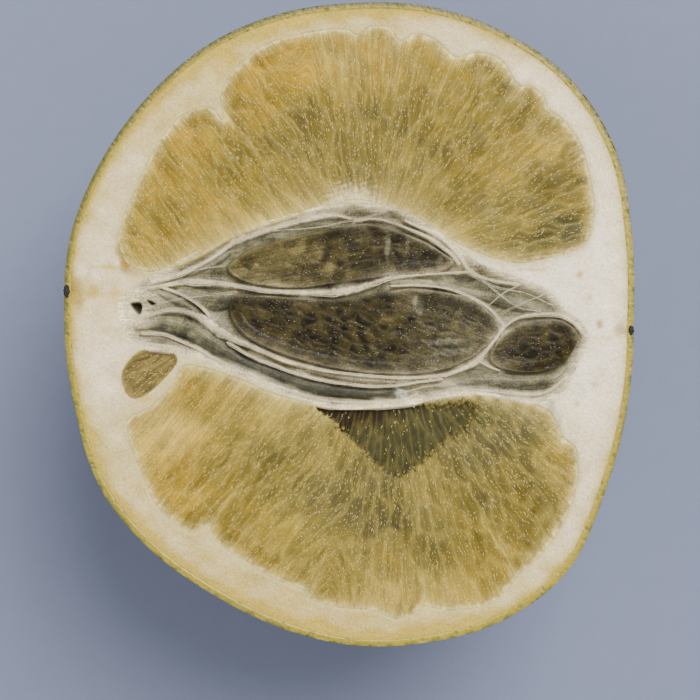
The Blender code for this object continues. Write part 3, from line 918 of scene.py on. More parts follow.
def strand_tree():
    """Thin uneven strands that run along edges."""
    tree, given, finish = new_group("Strands", "GeometryNodeTree", (
        ("Geometry", GEOMETRY, None), ("Count", "NodeSocketInt", 3),
        ("Thickness", FLOAT, 0.0001), ("Spread", FLOAT, 0.0003), ("Seed", FLOAT, 0.0),
        ("Sides", "NodeSocketInt", 5), ("Material", MATERIAL, None)),
        (("Geometry", GEOMETRY),))
    curve = add(tree, "GeometryNodeMeshToCurve", {0: given["Geometry"]}).outputs[0]
    curve = add(tree, "GeometryNodeResampleCurve", {
        "Curve": curve, "Length": 0.0003}, mode="LENGTH").outputs[0]
    copies = add(tree, "GeometryNodeDuplicateElements", {
        "Geometry": curve, "Amount": given["Count"]}, domain="SPLINE").outputs
    turn = calc(tree, "ADD", calc(tree, "MULTIPLY", copies["Duplicate Index"], 3.7),
                given["Seed"])
    spot = add(tree, "GeometryNodeInputPosition").outputs[0]
    drift = add(tree, "ShaderNodeTexNoise", {
        "Vector": spot, "W": turn, "Scale": 170.0, "Detail": 2.0}, noise_dimensions="4D")
    away = vector_calc(tree, "MULTIPLY", vector_calc(
        tree, "SUBTRACT", drift.outputs["Color"], (0.5, 0.5, 0.56)), (4.0, 4.0, 1.6))
    away = scaled(tree, away,
                  calc(tree, "MULTIPLY", given["Spread"], named(tree, "spread")))
    curve = add(tree, "GeometryNodeSetPosition", {
        "Geometry": copies["Geometry"], "Offset": away}).outputs[0]
    thick = add(tree, "ShaderNodeTexNoise", {
        "Vector": spot, "W": turn, "Scale": 700.0}, noise_dimensions="4D")
    radius = calc(tree, "MULTIPLY", given["Thickness"],
                  span(tree, thick.outputs[0], 0.3, 0.7, 0.4, 1.3))
    curve = add(tree, "GeometryNodeSetCurveRadius", {0: curve, "Radius": radius}).outputs[0]
    ring = add(tree, "GeometryNodeCurvePrimitiveCircle", {
        "Resolution": given["Sides"], "Radius": 1.0}, mode="RADIUS").outputs[0]
    sweep = add(tree, "GeometryNodeCurveToMesh", {
        "Curve": curve, "Profile Curve": ring, "Fill Caps": True})
    if "Scale" in sweep.inputs:
        tree.links.new(add(tree, "GeometryNodeInputRadius").outputs[0],
                       sweep.inputs["Scale"])
    return end_tree(tree, finish, sweep.outputs[0], given["Material"])


def glint_tree():
    """Small pale slivers scattered over pulp, laid along its fibres."""
    tree, given, finish = new_group("Glints", "GeometryNodeTree", (
        ("Geometry", GEOMETRY, None), ("Density", FLOAT, 1e6),
        ("Length", FLOAT, 0.0008), ("Width", FLOAT, 0.0002),
        ("Seed", "NodeSocketInt", 1), ("Material", MATERIAL, None)),
        (("Geometry", GEOMETRY),))
    points = add(tree, "GeometryNodeDistributePointsOnFaces", {
        "Mesh": given["Geometry"], "Seed": given["Seed"]}, distribute_method="RANDOM")
    tree.links.new(calc(tree, "MULTIPLY", given["Density"], named(tree, "glints")),
                   points.inputs["Density"])

    def chance(low, high, shift):
        item = add(tree, "FunctionNodeRandomValue", {
            "Seed": calc(tree, "ADD", given["Seed"], shift)}, data_type="FLOAT")
        item.inputs[2].default_value, item.inputs[3].default_value = low, high
        return item.outputs[1]

    lay = add(tree, "FunctionNodeAlignRotationToVector", {
        "Vector": named(tree, "grain", "FLOAT_VECTOR")}, axis="X").outputs[0]
    turned = add(tree, "FunctionNodeRotateRotation", {
        "Rotation": lay, "Rotate By": add(tree, "FunctionNodeEulerToRotation", {
            0: add(tree, "ShaderNodeCombineXYZ", {
                1: chance(-0.12, 0.12, 3.0), 2: chance(-0.45, 0.45, 5.0)}).outputs[0]
        }).outputs[0]}, rotation_space="LOCAL").outputs[0]
    long = calc(tree, "POWER", chance(0.25, 1.0, 7.0), 1.6)
    size = add(tree, "ShaderNodeCombineXYZ", {
        0: calc(tree, "MULTIPLY", given["Length"], long),
        1: calc(tree, "MULTIPLY", given["Width"], chance(0.5, 1.1, 9.0)),
        2: calc(tree, "MULTIPLY", given["Width"], 0.5)}).outputs[0]
    sliver = add(tree, "GeometryNodeMeshIcoSphere", {
        "Radius": 0.5, "Subdivisions": 1}).outputs[0]
    made = add(tree, "GeometryNodeInstanceOnPoints", {
        "Points": points.outputs[0], "Instance": sliver, "Rotation": turned,
        "Scale": size}).outputs[0]
    return end_tree(tree, finish, made, given["Material"])


def grown(name, mesh, tree, **inputs):
    """The plain mesh that a geometry node tree makes of a mesh."""
    host = bpy.data.objects.new(name, mesh)
    bpy.context.scene.collection.objects.link(host)
    modifier = host.modifiers.new(name, "NODES")
    modifier.node_group = tree
    for item in tree.interface.items_tree:
        key = item.name.replace(" ", "_").lower()
        if item.in_out == "INPUT" and key in inputs:
            modifier[item.identifier] = inputs[key]
    graph = bpy.context.evaluated_depsgraph_get()
    result = bpy.data.meshes.new_from_object(
        host.evaluated_get(graph), preserve_all_data_layers=True, depsgraph=graph)
    host.modifiers.clear()
    bpy.data.objects.remove(host)
    result.name = name
    return result

# --------------------------------------------------------------------------- settings


def length(name, description, default):
    return FloatProperty(name=name, description=description, default=default, min=0.0,
                         unit="LENGTH", subtype="DISTANCE", precision=5)


def share(name, description, default):
    return FloatProperty(name=name, description=description, default=default, min=0.0,
                         max=2.0, subtype="FACTOR")


def colour(name, description, default):
    return FloatVectorProperty(name=name, description=description, default=default,
                               min=0.0, max=4.0, size=3, subtype="COLOR")


class FruitSettings(bpy.types.PropertyGroup):
    """Shape of the fruit, its rind and its pith."""
    half_length: length("Half Length", "From the middle to a pole, before swelling",
                        (CAD_HIGH[0] - CAD_LOW[0]) / 2)
    half_width: length("Half Width", "From the middle to the side, before swelling",
                       (CAD_HIGH[1] - CAD_LOW[1]) / 2)
    half_depth: length("Half Depth", "From the cut to the underside, before it flattens",
                       CAD_HIGH[2] + 0.0008)
    rind_thickness: length("Rind Thickness", "Coloured rind seen on the cut", 0.00078)
    gland_spacing: length("Gland Spacing", "Between the oil glands", 0.00085)
    gland_depth: length("Gland Depth", "How deep the dimples are", 0.00010)
    unevenness: length("Unevenness", "Broad lumps of the rind", 0.00022)
    pith_relief: length("Pith Relief", "Height of the spongy pith", 0.000015)
    rind_green: colour("Rind Green", "Greener patches", (0.085, 0.094, 0.008))
    rind_yellow: colour("Rind Yellow", "Yellower patches", (0.20, 0.168, 0.010))
    rind_band: colour("Rind Band", "Cut through the oil glands", (0.190, 0.140, 0.002))
    rind_inner: colour("Rind Inner", "Cut rind beside the pith", (0.36, 0.270, 0.028))
    gland_colour: colour("Gland Colour", "Oil glands", (0.055, 0.062, 0.004))
    pith_white: colour("Pith White", "Palest pith", (0.84, 0.71, 0.51))
    pith_cream: colour("Pith Cream", "Yellowest pith", (0.44, 0.31, 0.045))
    rust: colour("Rust", "Brown stains", (0.26, 0.145, 0.012))
    peach: colour("Peach", "Orange stains", (0.66, 0.40, 0.12))
    grey: colour("Grey", "Wet marks beside the core", (0.20, 0.19, 0.13))
    gold: colour("Gold", "Yellow stains", (0.48, 0.33, 0.03))


class PulpSettings(bpy.types.PropertyGroup):
    """Juice sacs of the two lobes."""
    sac_width: length("Sac Width", "Across the fibres", 0.0010)
    sac_length: length("Sac Length", "Along the fibres", 0.0048)
    groove: length("Groove", "Depth between sacs", 0.00005)
    fibre_width: FloatProperty(name="Fibre Width", description="Of a streak, in mm",
                               default=0.16, min=0.01)
    fibre_strength: share("Fibre Strength", "How strong the streaks are", 0.62)
    wall_strength: share("Wall Strength", "How pale the sac walls are", 0.26)
    sac_tone: share("Sac Tone", "How much the sacs differ", 0.5)
    wall_colour: colour("Wall Colour", "Sac walls and pale fibres", (0.36, 0.27, 0.06))
    amber: colour("Amber", "Lightest pulp", (0.27, 0.157, 0.0062))
    olive: colour("Olive", "Darkest pulp", (0.062, 0.051, 0.0150))
    pale: colour("Pale", "Pulp that runs into the pith", (0.42, 0.32, 0.09))
    edge: colour("Edge", "The very edge of a lobe", (0.55, 0.44, 0.185))
    glint_density: FloatProperty(name="Glint Density", description="Slivers to a mm2",
                                 default=4.6, min=0.0)
    glint_length: length("Glint Length", "Longest sliver", 0.00058)
    glint_width: length("Glint Width", "Widest sliver", 0.000072)
    # Pale slivers of torn sacs, coloured as painted glints of their wet edges.
    glint_colour: colour("Glint Colour", "Pale slivers", (0.54, 0.42, 0.14))


class CoreSettings(bpy.types.PropertyGroup):
    """The open core, its segments and its membranes."""
    floor_depth: length("Floor Depth", "Of the core between its membranes", 0.0010)
    graze_depth: length("Graze Depth", "Of an opened segment", 0.0008)
    sac_width: length("Sac Width", "Across the sacs of opened segments", 0.0011)
    sac_length: length("Sac Length", "Along the sacs of opened segments", 0.0020)
    groove: length("Groove", "Depth between those sacs", 0.00006)
    fibre_width: FloatProperty(name="Fibre Width", description="Of a streak, in mm",
                               default=0.22, min=0.01)
    fibre_strength: share("Fibre Strength", "How strong the streaks are", 0.75)
    wall_strength: share("Wall Strength", "How pale the sac walls are", 0.32)
    sac_tone: share("Sac Tone", "How much the sacs differ", 0.85)
    wall_colour: colour("Wall Colour", "Films round the sacs", (0.060, 0.047, 0.014))
    floor_colour: colour("Floor Colour", "Deep wet membrane", (0.075, 0.070, 0.036))
    web_colour: colour("Web Colour", "Membrane cut edge-on", (0.49, 0.41, 0.255))
    lip_colour: colour("Lip Colour", "Where the core meets the pith", (0.57, 0.48, 0.29))
    whole_light: colour("Whole Light", "Lit side of a whole segment", (0.118, 0.106, 0.056))
    whole_dark: colour("Whole Dark", "Shaded side", (0.018, 0.021, 0.013))
    opened: colour("Opened", "Sacs of an opened segment", (0.026, 0.019, 0.0038))
    # Also painted over the slot and the hub hole and pit as painted shade.
    opened_dark: colour("Opened Dark", "The darkest of them", (0.006, 0.004, 0.001))
    brown: colour("Brown", "Browner sacs", (0.022, 0.014, 0.003))
    # Pale films over the sacs, with painted sheen on them.
    sheen: colour("Sheen", "Pale films over the sacs", (0.145, 0.130, 0.085))
    # Pale specks on the opened sacs: painted glints of the wet surface.
    wet_glint_colour: colour("Speck Colour", "Wet specks on the sacs", (0.34, 0.31, 0.22))
    # A painted highlight where a clear drop lies beside the membrane.
    gleam: colour("Gleam", "A clear drop beside the membrane", (0.34, 0.36, 0.31))
    wedge_colour: colour("Wedge Colour", "Sunk wedge of pulp", (0.039, 0.035, 0.011))
    wedge_brown: colour("Wedge Brown", "Its brown end", (0.017, 0.011, 0.004))
    strand_thickness: length("Strand Thickness", "Of the fibres on a membrane", 0.000028)
    strand_spread: length("Strand Spread", "How far they wander", 0.0005)


class StageSettings(bpy.types.PropertyGroup):
    """Floor, light and camera."""
    floor_colour: colour("Floor Colour", "Plain floor", (0.136, 0.153, 0.224))
    key_power: FloatProperty(name="Key Power", description="Watts", default=14.5)
    key_size: length("Key Size", "Side of the key light", 0.55)
    fill: FloatProperty(name="Fill", description="Strength of the surroundings",
                        default=0.7)
    lens: FloatProperty(name="Lens", description="Focal length in mm", default=85.0)
    camera_height: length("Camera Height", "Above the cut face", 0.195)
    camera_x: FloatProperty(name="Camera X", description="Place over the fruit",
                            default=0.00012, unit="LENGTH")
    camera_y: FloatProperty(name="Camera Y", description="Place over the fruit",
                            default=-0.00307, unit="LENGTH")

# --------------------------------------------------------------- surfaces of the face

DIVIDES = (
    ((-15.2, 25.6, 0.5), (-13.4, 23.6, 0.5), (-11.6, 21.4, 0.4), (-9.2, 18.4, 0.3)),
    ((0.8, 34.6, 0.4), (1.0, 31.5, 0.4), (1.4, 28.0, 0.3)),
    ((6.2, 33.8, 0.4), (5.8, 31.0, 0.4), (5.4, 28.0, 0.3)),
    ((12.8, 31.7, 0.4), (11.8, 29.6, 0.4), (10.4, 26.5, 0.3)),
    ((20.2, 28.2, 0.4), (18.4, 26.0, 0.4), (15.6, 22.6, 0.3)),
    ((23.8, 25.2, 0.3), (21.4, 22.6, 0.3), (18.6, 19.4, 0.3)),
    ((-16.6, -24.0, 0.4), (-14.8, -21.4, 0.4), (-12.0, -18.0, 0.3)),
    ((-4.6, -32.4, 0.4), (-3.4, -28.8, 0.4), (-1.8, -24.5, 0.3)),
    ((9.0, -33.4, 0.4), (8.8, -30.0, 0.4), (8.2, -26.0, 0.3)),
    ((20.0, -29.6, 0.4), (18.2, -26.8, 0.4), (15.4, -22.6, 0.3)),
)


def fibres_from(xy, centre, facing, lean=None):
    """Fibre coordinates and directions that fan out from a centre.

    Left of lean, an (x, y, degrees), they run side by side at that angle."""
    out = xy - np.array(centre)
    reach = np.maximum(np.linalg.norm(out, axis=1), 0.5)
    turn = np.arctan2(out[:, 0] * facing, out[:, 1] * facing)
    fibre = level(turn * 18.0, reach)
    grain = np.hstack([out / reach[:, None], np.zeros((len(xy), 1))])
    if lean:
        at, slope = np.array(lean[:2]), math.radians(lean[2])
        way = np.array([math.cos(slope), math.sin(slope)]) * facing
        start = fibres_from(at[None], centre, facing)[0][0]
        off = xy - at
        beside_it = start[0] + off @ np.array([way[1], -way[0]])
        leaning = smooth(0.5 - off[:, 0] / 3.5)
        fibre = mix(fibre, level(beside_it, start[1] + off @ way), leaning)
        grain = mix(grain, (*way, 0.0), leaning)
        grain /= np.linalg.norm(grain, axis=1)[:, None]
    return fibre, grain


def pulp_tint(xy, tones, room):
    """Colour of pulp from its tones, pale where it meets the pith."""
    look = bpy.context.scene.bergamot_pulp
    light, pale = blend_places(xy, tones).T
    light = light + 0.12 * waves(xy, 5.0, SEED) + 0.10 * waves(xy, 1.8, SEED + 1)
    amber, olive = np.array(look.amber), np.array(look.olive)
    tint = olive * (amber / olive) ** np.clip(light, -0.3, 1.3)[:, None]
    tint = mix(tint, look.pale, np.clip(pale * 0.8, 0, 1))
    ragged = room + 0.2 * waves(xy, 1.2, SEED + 2) + 0.15 * waves(xy, 0.5, SEED + 12)
    tint = mix(tint, look.pale, 0.7 * (1 - smooth(ragged / 1.7)))
    return mix(tint, look.edge, 1 - smooth((ragged - 0.05) / 0.6))


def lobe(xy, outline, tones, centre, facing, lean):
    """Height and values of one lobe of pulp."""
    room, _ = depth_in(xy, outline)
    fibre, grain = fibres_from(xy, centre, facing, lean)
    tint = pulp_tint(xy, tones, room)
    height = 0.05 * waves(xy, 4.0, SEED + 3) - 0.04
    height -= 0.6 * (1 - smooth((room + 0.12) / 0.26))
    inner = 1 - smooth(-depth_in(xy, line(CORE, 0.5))[0] / 3.4)
    tint = mix(tint, bpy.context.scene.bergamot_pulp.pale, 0.45 * inner)
    fuzz = np.hypot((xy[:, 0] - 0.6) / 3.4, (xy[:, 1] - 13.8) / 2.6)
    fuzz = smooth(1.3 - fuzz + 0.3 * waves(xy, 0.8, SEED + 9))
    tint = mix(tint, bpy.context.scene.bergamot_core.lip_colour, 0.75 * fuzz)
    for path in DIVIDES:
        off, _, along = beside(xy, line(path, 0.5, closed=False))
        seam = np.exp(-np.abs(off)) * smooth(1.1 - along / 11.0)
        height -= 0.12 * seam
        tint = mix(tint, bpy.context.scene.bergamot_pulp.pale, 0.4 * seam)
    return dict(height=height, tint=tint, fibre=fibre, grain=grain,
                sac_mask=smooth(room / 0.6), glints=smooth((room - 0.1) / 0.4))


def left_lobe(xy):
    return lobe(xy, line(LEFT_LOBE, 0.3), LEFT_TONES, (2.4, 5.2), 1, (-6, 22, 127))


def right_lobe(xy):
    made = lobe(xy, line(RIGHT_LOBE, 0.3), RIGHT_TONES, (5.0, 1.5), -1, (-1, -20, 49))
    look = bpy.context.scene.bergamot_core
    room, _ = depth_in(xy, line(WEDGE, 0.3))
    soft = 0.25 + 1.4 * smooth((xy[:, 0] - 6) / 6)
    sunk = smooth((room + 0.15 + 0.3 * waves(xy, 0.8, SEED + 11)) / soft)
    shade = mix(all_over(xy, look.wedge_colour), look.wedge_brown,
                smooth((xy[:, 1] + 13.2) / 2.2 - (xy[:, 0] - 2) / 7
                       + 0.2 * waves(xy, 1.5, SEED + 4)))
    shade *= (1 + 0.15 * waves(xy, 1.3, SEED + 5))[:, None]
    # A painted shadow: a dark olive zone on the pulp beside the wedge and the core.
    painted_shadow = np.hypot((xy[:, 0] - 14.5) / 6.5, (xy[:, 1] + 10.6) / 2.2)
    painted_shadow = smooth(1.4 - painted_shadow + 0.3 * waves(xy, 1.5, SEED + 13))
    made["tint"] = mix(made["tint"], np.array(look.wedge_colour) * 1.5, 0.65 * painted_shadow)
    made["tint"] = mix(made["tint"], shade, sunk)
    made["sac_mask"] *= 1 - 0.6 * sunk
    made["height"] -= 0.9 * sunk
    made["glints"] *= 1 - 0.8 * sunk
    return made


def stray_cell(xy):
    room, _ = depth_in(xy, line(STRAY_CELL, 0.2))
    look = bpy.context.scene.bergamot_pulp
    fibre, grain = fibres_from(xy, (-16.5, -1.0), -1)
    tint = all_over(xy, STRAY_COLOUR) * (1 + 0.25 * waves(xy, 1.4, SEED))[:, None]
    tint = mix(tint, look.pale, 0.7 * (1 - smooth(room / 0.5)))
    height = -0.15 - 0.45 * smooth(room / 0.9)
    return dict(height=height, tint=tint, fibre=fibre, grain=grain,
                sac_mask=smooth(room / 0.5), glints=0.9 * smooth(room / 0.4))


def pith(xy):
    """Height and values of the white pith."""
    look = bpy.context.scene.bergamot_fruit
    cream = blend_places(xy, PITH_TONES)[:, 0]
    outer, _ = depth_in(xy, rim(240))
    cream = cream + 0.10 * waves(xy, 3.0, SEED) + 0.75 * np.exp(-(outer - 0.7) / 0.75)
    height = look.pith_relief / MM * (waves(xy, 0.7, SEED) + 0.8 * waves(xy, 1.9, SEED))
    height -= 0.015 * (1 - smooth((outer - 0.65) / 0.6))
    for outline in (LEFT_LOBE, RIGHT_LOBE, CORE, STRAY_CELL):
        room, _ = depth_in(xy, line(outline, 0.3))
        height -= 1.0 * smooth((room - 0.08) / 0.3)
        cream = cream + 0.12 * np.exp(-np.maximum(-room, 0) / 0.9)
    tint = mix(all_over(xy, look.pith_white), look.pith_cream, np.clip(cream, 0, 1))
    pulp = bpy.context.scene.bergamot_pulp
    for outline in (LEFT_LOBE, RIGHT_LOBE):
        room = depth_in(xy, line(outline, 0.3))[0] + 0.15 * waves(xy, 0.6, SEED + 7)
        tint = mix(tint, pulp.edge, 0.9 * smooth((room + 0.7) / 0.9))
    for x, y, long, wide, strength, kind in STAINS:
        off = np.hypot((xy[:, 0] - x) / long, (xy[:, 1] - y) / wide) * 2
        patch = smooth((1.6 - off + 0.35 * waves(xy, 1.7, SEED + 6)) / 1.6)
        tint = mix(tint, getattr(look, kind), strength * patch)
        height -= 0.08 * patch * strength
    return dict(height=height, tint=tint)


def core(xy):
    """Height and values of the open core."""
    look = bpy.context.scene.bergamot_core
    room, _ = depth_in(xy, line(CORE, 0.3))
    height = -look.floor_depth / MM + 0.25 * waves(xy, 2.5, SEED)
    tint = all_over(xy, look.floor_colour)
    tint = tint * (1 + 0.25 * waves(xy, 2.2, SEED + 1))[:, None]
    fibre = level(xy[:, 1], xy[:, 0])
    sacs, holes = np.zeros(len(xy)), np.zeros(len(xy))
    for name, path in WHOLE.items():
        off, across, along = beside(xy, line(path, 0.4, closed=False))
        wide = np.abs(across) / np.maximum(np.abs(off), 1e-6)
        inside = smooth((1.15 - np.abs(off)) / 0.25)
        top = -0.55 - 0.6 * wide * (1 - np.sqrt(np.clip(1 - off ** 2, 0, 1)))
        height = mix(height, top, inside)
        light = smooth((off + 0.75 + 0.35 * waves(xy, 1.6, SEED + 2)) / 1.1)
        if name == "right":
            light *= 1 - 0.75 * smooth((along - 8) / 7)
            slit = inside
        shade = mix(all_over(xy, look.whole_dark), look.whole_light, light)
        if name == "right":
            shade *= (1.35 - 0.65 * smooth((along - 6) / 7))[:, None]
        shade *= (1 + 0.2 * waves(xy, 1.1, SEED + 3))[:, None]
        tint = mix(tint, shade, inside)
        fibre = mix(fibre, level(across, along), inside)
    for name, outline in GRAZED.items():
        depth, _ = depth_in(xy, line(outline, 0.3))
        inside = smooth(depth / 0.3 + 0.5)
        bowl = -0.25 - look.graze_depth / MM * smooth(depth / 1.5)
        height = mix(height, bowl, inside)
        dark = smooth(0.45 + 0.55 * waves(xy, 2.0, SEED + 4) + (depth < 0.8) * 0.15)
        # The slot and the hub hole and pit are sunk deeper and painted fully dark: painted
        # shade in the holes.
        if name in ("slot", "hub_hole", "hub_pit"):
            dark = np.ones(len(xy))
            height = height - 1.2 * inside
            holes = np.maximum(holes, inside)
        shade = mix(all_over(xy, look.opened), look.opened_dark, dark)
        if name == "middle":
            olive = smooth((xy[:, 0] + 0.5) / 8 + 0.4 * waves(xy, 2.4, SEED + 5) - 0.5)
            shade = mix(shade, OLIVE_FILM, 0.32 * olive)
        if name == "left":
            amber = smooth(0.1 - xy[:, 0] / 6 + 0.4 * waves(xy, 2.0, SEED + 6))
            shade = mix(shade, AMBER_FILM, 0.75 * amber)
        tint = mix(tint, shade, inside)
        sacs = np.maximum(sacs, inside * smooth(depth / 0.7))
        lean = math.radians(-18 if name == "middle" else 12)
        across = xy[:, 1] * math.cos(lean) - xy[:, 0] * math.sin(lean)
        along = xy[:, 0] * math.cos(lean) + xy[:, 1] * math.sin(lean)
        fibre = mix(fibre, level(across, along), inside)
    # Patches of colour; the sheen ones carry painted sheen and the gleam a painted
    # highlight.
    for x, y, long, wide, strength, kind in PATCHES:
        off = np.hypot((xy[:, 0] - x) / long, (xy[:, 1] - y) / wide)
        patch = smooth(1.3 - off + 0.4 * waves(xy, 0.9, SEED + 10))
        tint = mix(tint, getattr(look, kind), strength * patch)
    for name, path in WEBS.items():
        off, across, along = beside(xy, line(path, 0.4, closed=False))
        ridge = -0.1 - 0.3 * off ** 2
        beyond = np.maximum(np.abs(off) - 0.7, 0)
        ridge = np.where(beyond > 0, -0.25 - 3.0 * beyond, ridge)
        height = np.maximum(height, np.where(beyond > 1.0, -9, ridge))
        edge = smooth((1.0 - np.abs(off) + 0.2 * waves(xy, 0.9, SEED + 7)) / 0.7)
        veil = 0.32 * np.exp(-np.maximum(np.abs(across) - 0.3, 0) / 0.6)
        veil *= 1 - 0.8 * slit
        shade = all_over(xy, look.web_colour)
        shade *= (1 + 0.08 * waves(xy, 1.6, SEED + 8))[:, None]
        tint = mix(tint, shade, np.maximum(0.9 * edge, veil))
        sacs *= 1 - edge
        fibre = mix(fibre, level(across, along), edge)
    hub = smooth(1.5 - np.hypot((xy[:, 0] + 25.6) / 2.6, (xy[:, 1] - 2.0) / 2.6))
    tint = mix(tint, look.lip_colour, 0.85 * hub * (1 - holes))
    height = mix(height, -0.12, 0.8 * hub * (1 - holes))
    lip = 1 - smooth((room - 0.1 + 0.12 * waves(xy, 2.1, SEED)) / 1.3)
    height = mix(height, -0.06, lip)
    height -= 0.6 * (1 - smooth((room + 0.3) / 0.26))
    tint = mix(tint, look.lip_colour, 0.9 * lip)
    grain = np.hstack([np.ones((len(xy), 1)), np.zeros((len(xy), 2))])
    return dict(height=height, tint=tint, fibre=fibre, grain=grain, sac_mask=sacs,
                glints=0.12 * sacs)


def rind(points):
    """Values of the rind at points in mm, measured from the middle of the cut."""
    size = bpy.context.scene.bergamot_fruit
    thick = size.rind_thickness / MM
    near = points / half_sizes()
    way = near / np.maximum(np.linalg.norm(near, axis=1), 1e-9)[:, None]
    skin = skin_point(way)
    inset = np.linalg.norm(skin, axis=1) - np.linalg.norm(points, axis=1)
    outside = (inset < 0.12 * thick) | (points[:, 2] < 2 - CUT)
    flat, side = points[:, :2], points[:, 1:]
    yellow = 0.5 + 0.35 * waves(flat, 24, SEED + 2) + 0.25 * waves(side, 7, SEED + 3)
    yellow = smooth(yellow + 0.15 - 0.35 * points[:, 1] / 38)
    tint = mix(all_over(points, size.rind_green), size.rind_yellow, yellow)
    band = inset / thick + 0.12 * waves(flat, 0.9, SEED + 4)
    on_cut = points[:, 2] > -0.3
    far = smooth((flat[:, 1] + 8 - 0.4 * flat[:, 0]) / 40)[:, None]
    tint = tint * (1 - 0.45 * far * smooth(1 + points[:, 2] / 3)[:, None])
    cut = np.array(size.rind_band) * (
        1.35 - 0.9 * far * (1 - 0.7 * smooth(band / 0.9))[:, None])
    tint = mix(tint, cut, smooth(band / 0.35) * on_cut)
    tint = mix(tint, size.rind_inner, smooth((band - 0.55) / 0.5) * on_cut)
    edge = smooth(0.35 + 0.35 * far[:, 0] + waves(flat, 1.9, SEED + 8))
    edge *= 1 - smooth(band / 0.65)
    tint = mix(tint, size.gland_colour, 0.8 * edge * on_cut)
    bare = smooth(0.2 - points[:, 2] / 0.5) * smooth((points[:, 2] + CUT) / 1.2)
    return dict(tint=tint, outside=outside * bare)

# -------------------------------------------------------------------------- operators


def down_to(depth):
    """A step that takes a loose edge straight down to a depth under the cut, in mm."""
    def step(points):
        return np.column_stack([points[:, :2], np.full(len(points), (CUT - depth) * MM)])
    return step


def along_skin(inset, dip):
    """A step that takes a loose edge down the inside of the skin to a dip angle."""
    def step(points):
        way = (points / MM - (0, 0, CUT)) / (half_sizes() - inset)
        way /= np.linalg.norm(way, axis=1)[:, None]
        lift = np.sqrt(np.maximum(1 - way[:, 0] ** 2, 0))
        side = np.where(way[:, 1] >= 0, 1, -1)
        way = np.stack([way[:, 0], side * lift * math.cos(dip), -lift * math.sin(dip)], 1)
        return (skin_point(way, inset) + (0, 0, CUT)) * MM
    return step


def sheet(name, edges, spacing, values):
    """The top of a piece of the cut face, inside its edges, at its heights."""
    xy, faces = lattice(edges, spacing * (1))
    return make_mesh(name, np.column_stack([xy, values(xy)["height"] + CUT]) * MM, faces)


def surface(name, edges, spacing, values, depth):
    """A closed piece over part of the cut face, its values worked out at every point."""
    mesh = sheet(name, edges, spacing, values)
    walls(mesh, [down_to(depth)])
    points = places_of(mesh)
    made = values(points[:, :2] / MM)
    buried = points[:, 2] / MM < CUT - BURIED
    made.pop("height")
    made["sac_mask"][buried] = 0
    made["glints"][buried] = 0
    keep_values(mesh, **made)
    return mesh


class BuildOperator:
    """What the operators that build pieces share."""
    bl_options = {"REGISTER", "UNDO"}

    def execute(self, context):
        self.build(context.scene)
        return {"FINISHED"}


class BERGAMOT_OT_build_rind(BuildOperator, bpy.types.Operator):
    """Build the rind, its dimpled outside and the thin band seen on the cut"""
    bl_idname = "bergamot.build_rind"
    bl_label = "Rind"

    def build(self, scene):
        size = scene.bergamot_fruit
        thick = size.rind_thickness / MM
        bm = bmesh.new()
        bmesh.ops.create_icosphere(bm, subdivisions=8, radius=1)
        bmesh.ops.bisect_plane(bm, geom=bm.verts[:] + bm.edges[:] + bm.faces[:],
                               dist=1e-7, plane_co=(0, 0, 0), plane_no=(0, 0, 1),
                               clear_outer=True)
        bmesh.ops.triangulate(bm, faces=[f for f in bm.faces if len(f.verts) > 3])
        mesh = bpy.data.meshes.new("rind")
        bm.to_mesh(mesh)
        bm.free()
        way = places_of(mesh)
        way /= np.linalg.norm(way, axis=1)[:, None]
        point = skin_point(way)
        lump = waves(point[:, :2], 11, SEED) + waves(point[:, 1:], 9, SEED + 1)
        below = smooth(-way[:, 2] / 0.25) * (point[:, 2] > 2 - CUT)
        point += way * (size.unevenness / MM * 0.5 * lump * below)[:, None]
        point[:, 2] = np.clip(point[:, 2], -CUT, 0)
        mesh.vertices.foreach_set("co", rows_of((point + (0, 0, CUT)) * MM))
        inward = [along_skin(thick * part, 0.0) for part in (0.08, 0.25, 0.45, 0.7, 1.0)]
        under = [along_skin(thick, math.radians(dip)) for dip in (4, 15, 30, 48, 66, 84)]
        walls(mesh, inward + under)
        keep_values(mesh, **rind(places_of(mesh) / MM - (0, 0, CUT)))
        mesh = grown("rind", mesh, dimple_tree(), spacing=size.gland_spacing,
                     depth=size.gland_depth, seed=float(SEED),
                     material=rind_material(size))
        place("rind", mesh, "rind")


class BERGAMOT_OT_build_pith(BuildOperator, bpy.types.Operator):
    """Build the white pith that fills the rind round the lobes and the core"""
    bl_idname = "bergamot.build_pith"
    bl_label = "Pith"

    def build(self, scene):
        inset = scene.bergamot_fruit.rind_thickness / MM - 0.08
        edges = [(rim(480, inset), 1, 0.0)]
        edges += [(line(outline, 0.3), -1, 0.45)
                  for outline in (LEFT_LOBE, RIGHT_LOBE, CORE, STRAY_CELL)]
        mesh = sheet("pith", edges, PITH_SPACING, pith)
        dips = [along_skin(inset, math.radians(dip)) for dip in (3, 12, 25, 45, 66, 84)]
        walls(mesh, dips, pick=lambda xy: depth_in(xy, rim(240, inset))[0] < 0.05)
        walls(mesh, [down_to(PITH_WALL)])
        keep_values(mesh, tint=pith(places_of(mesh)[:, :2] / MM)["tint"])
        mesh.materials.append(pith_material())
        place("pith", mesh, "pith")


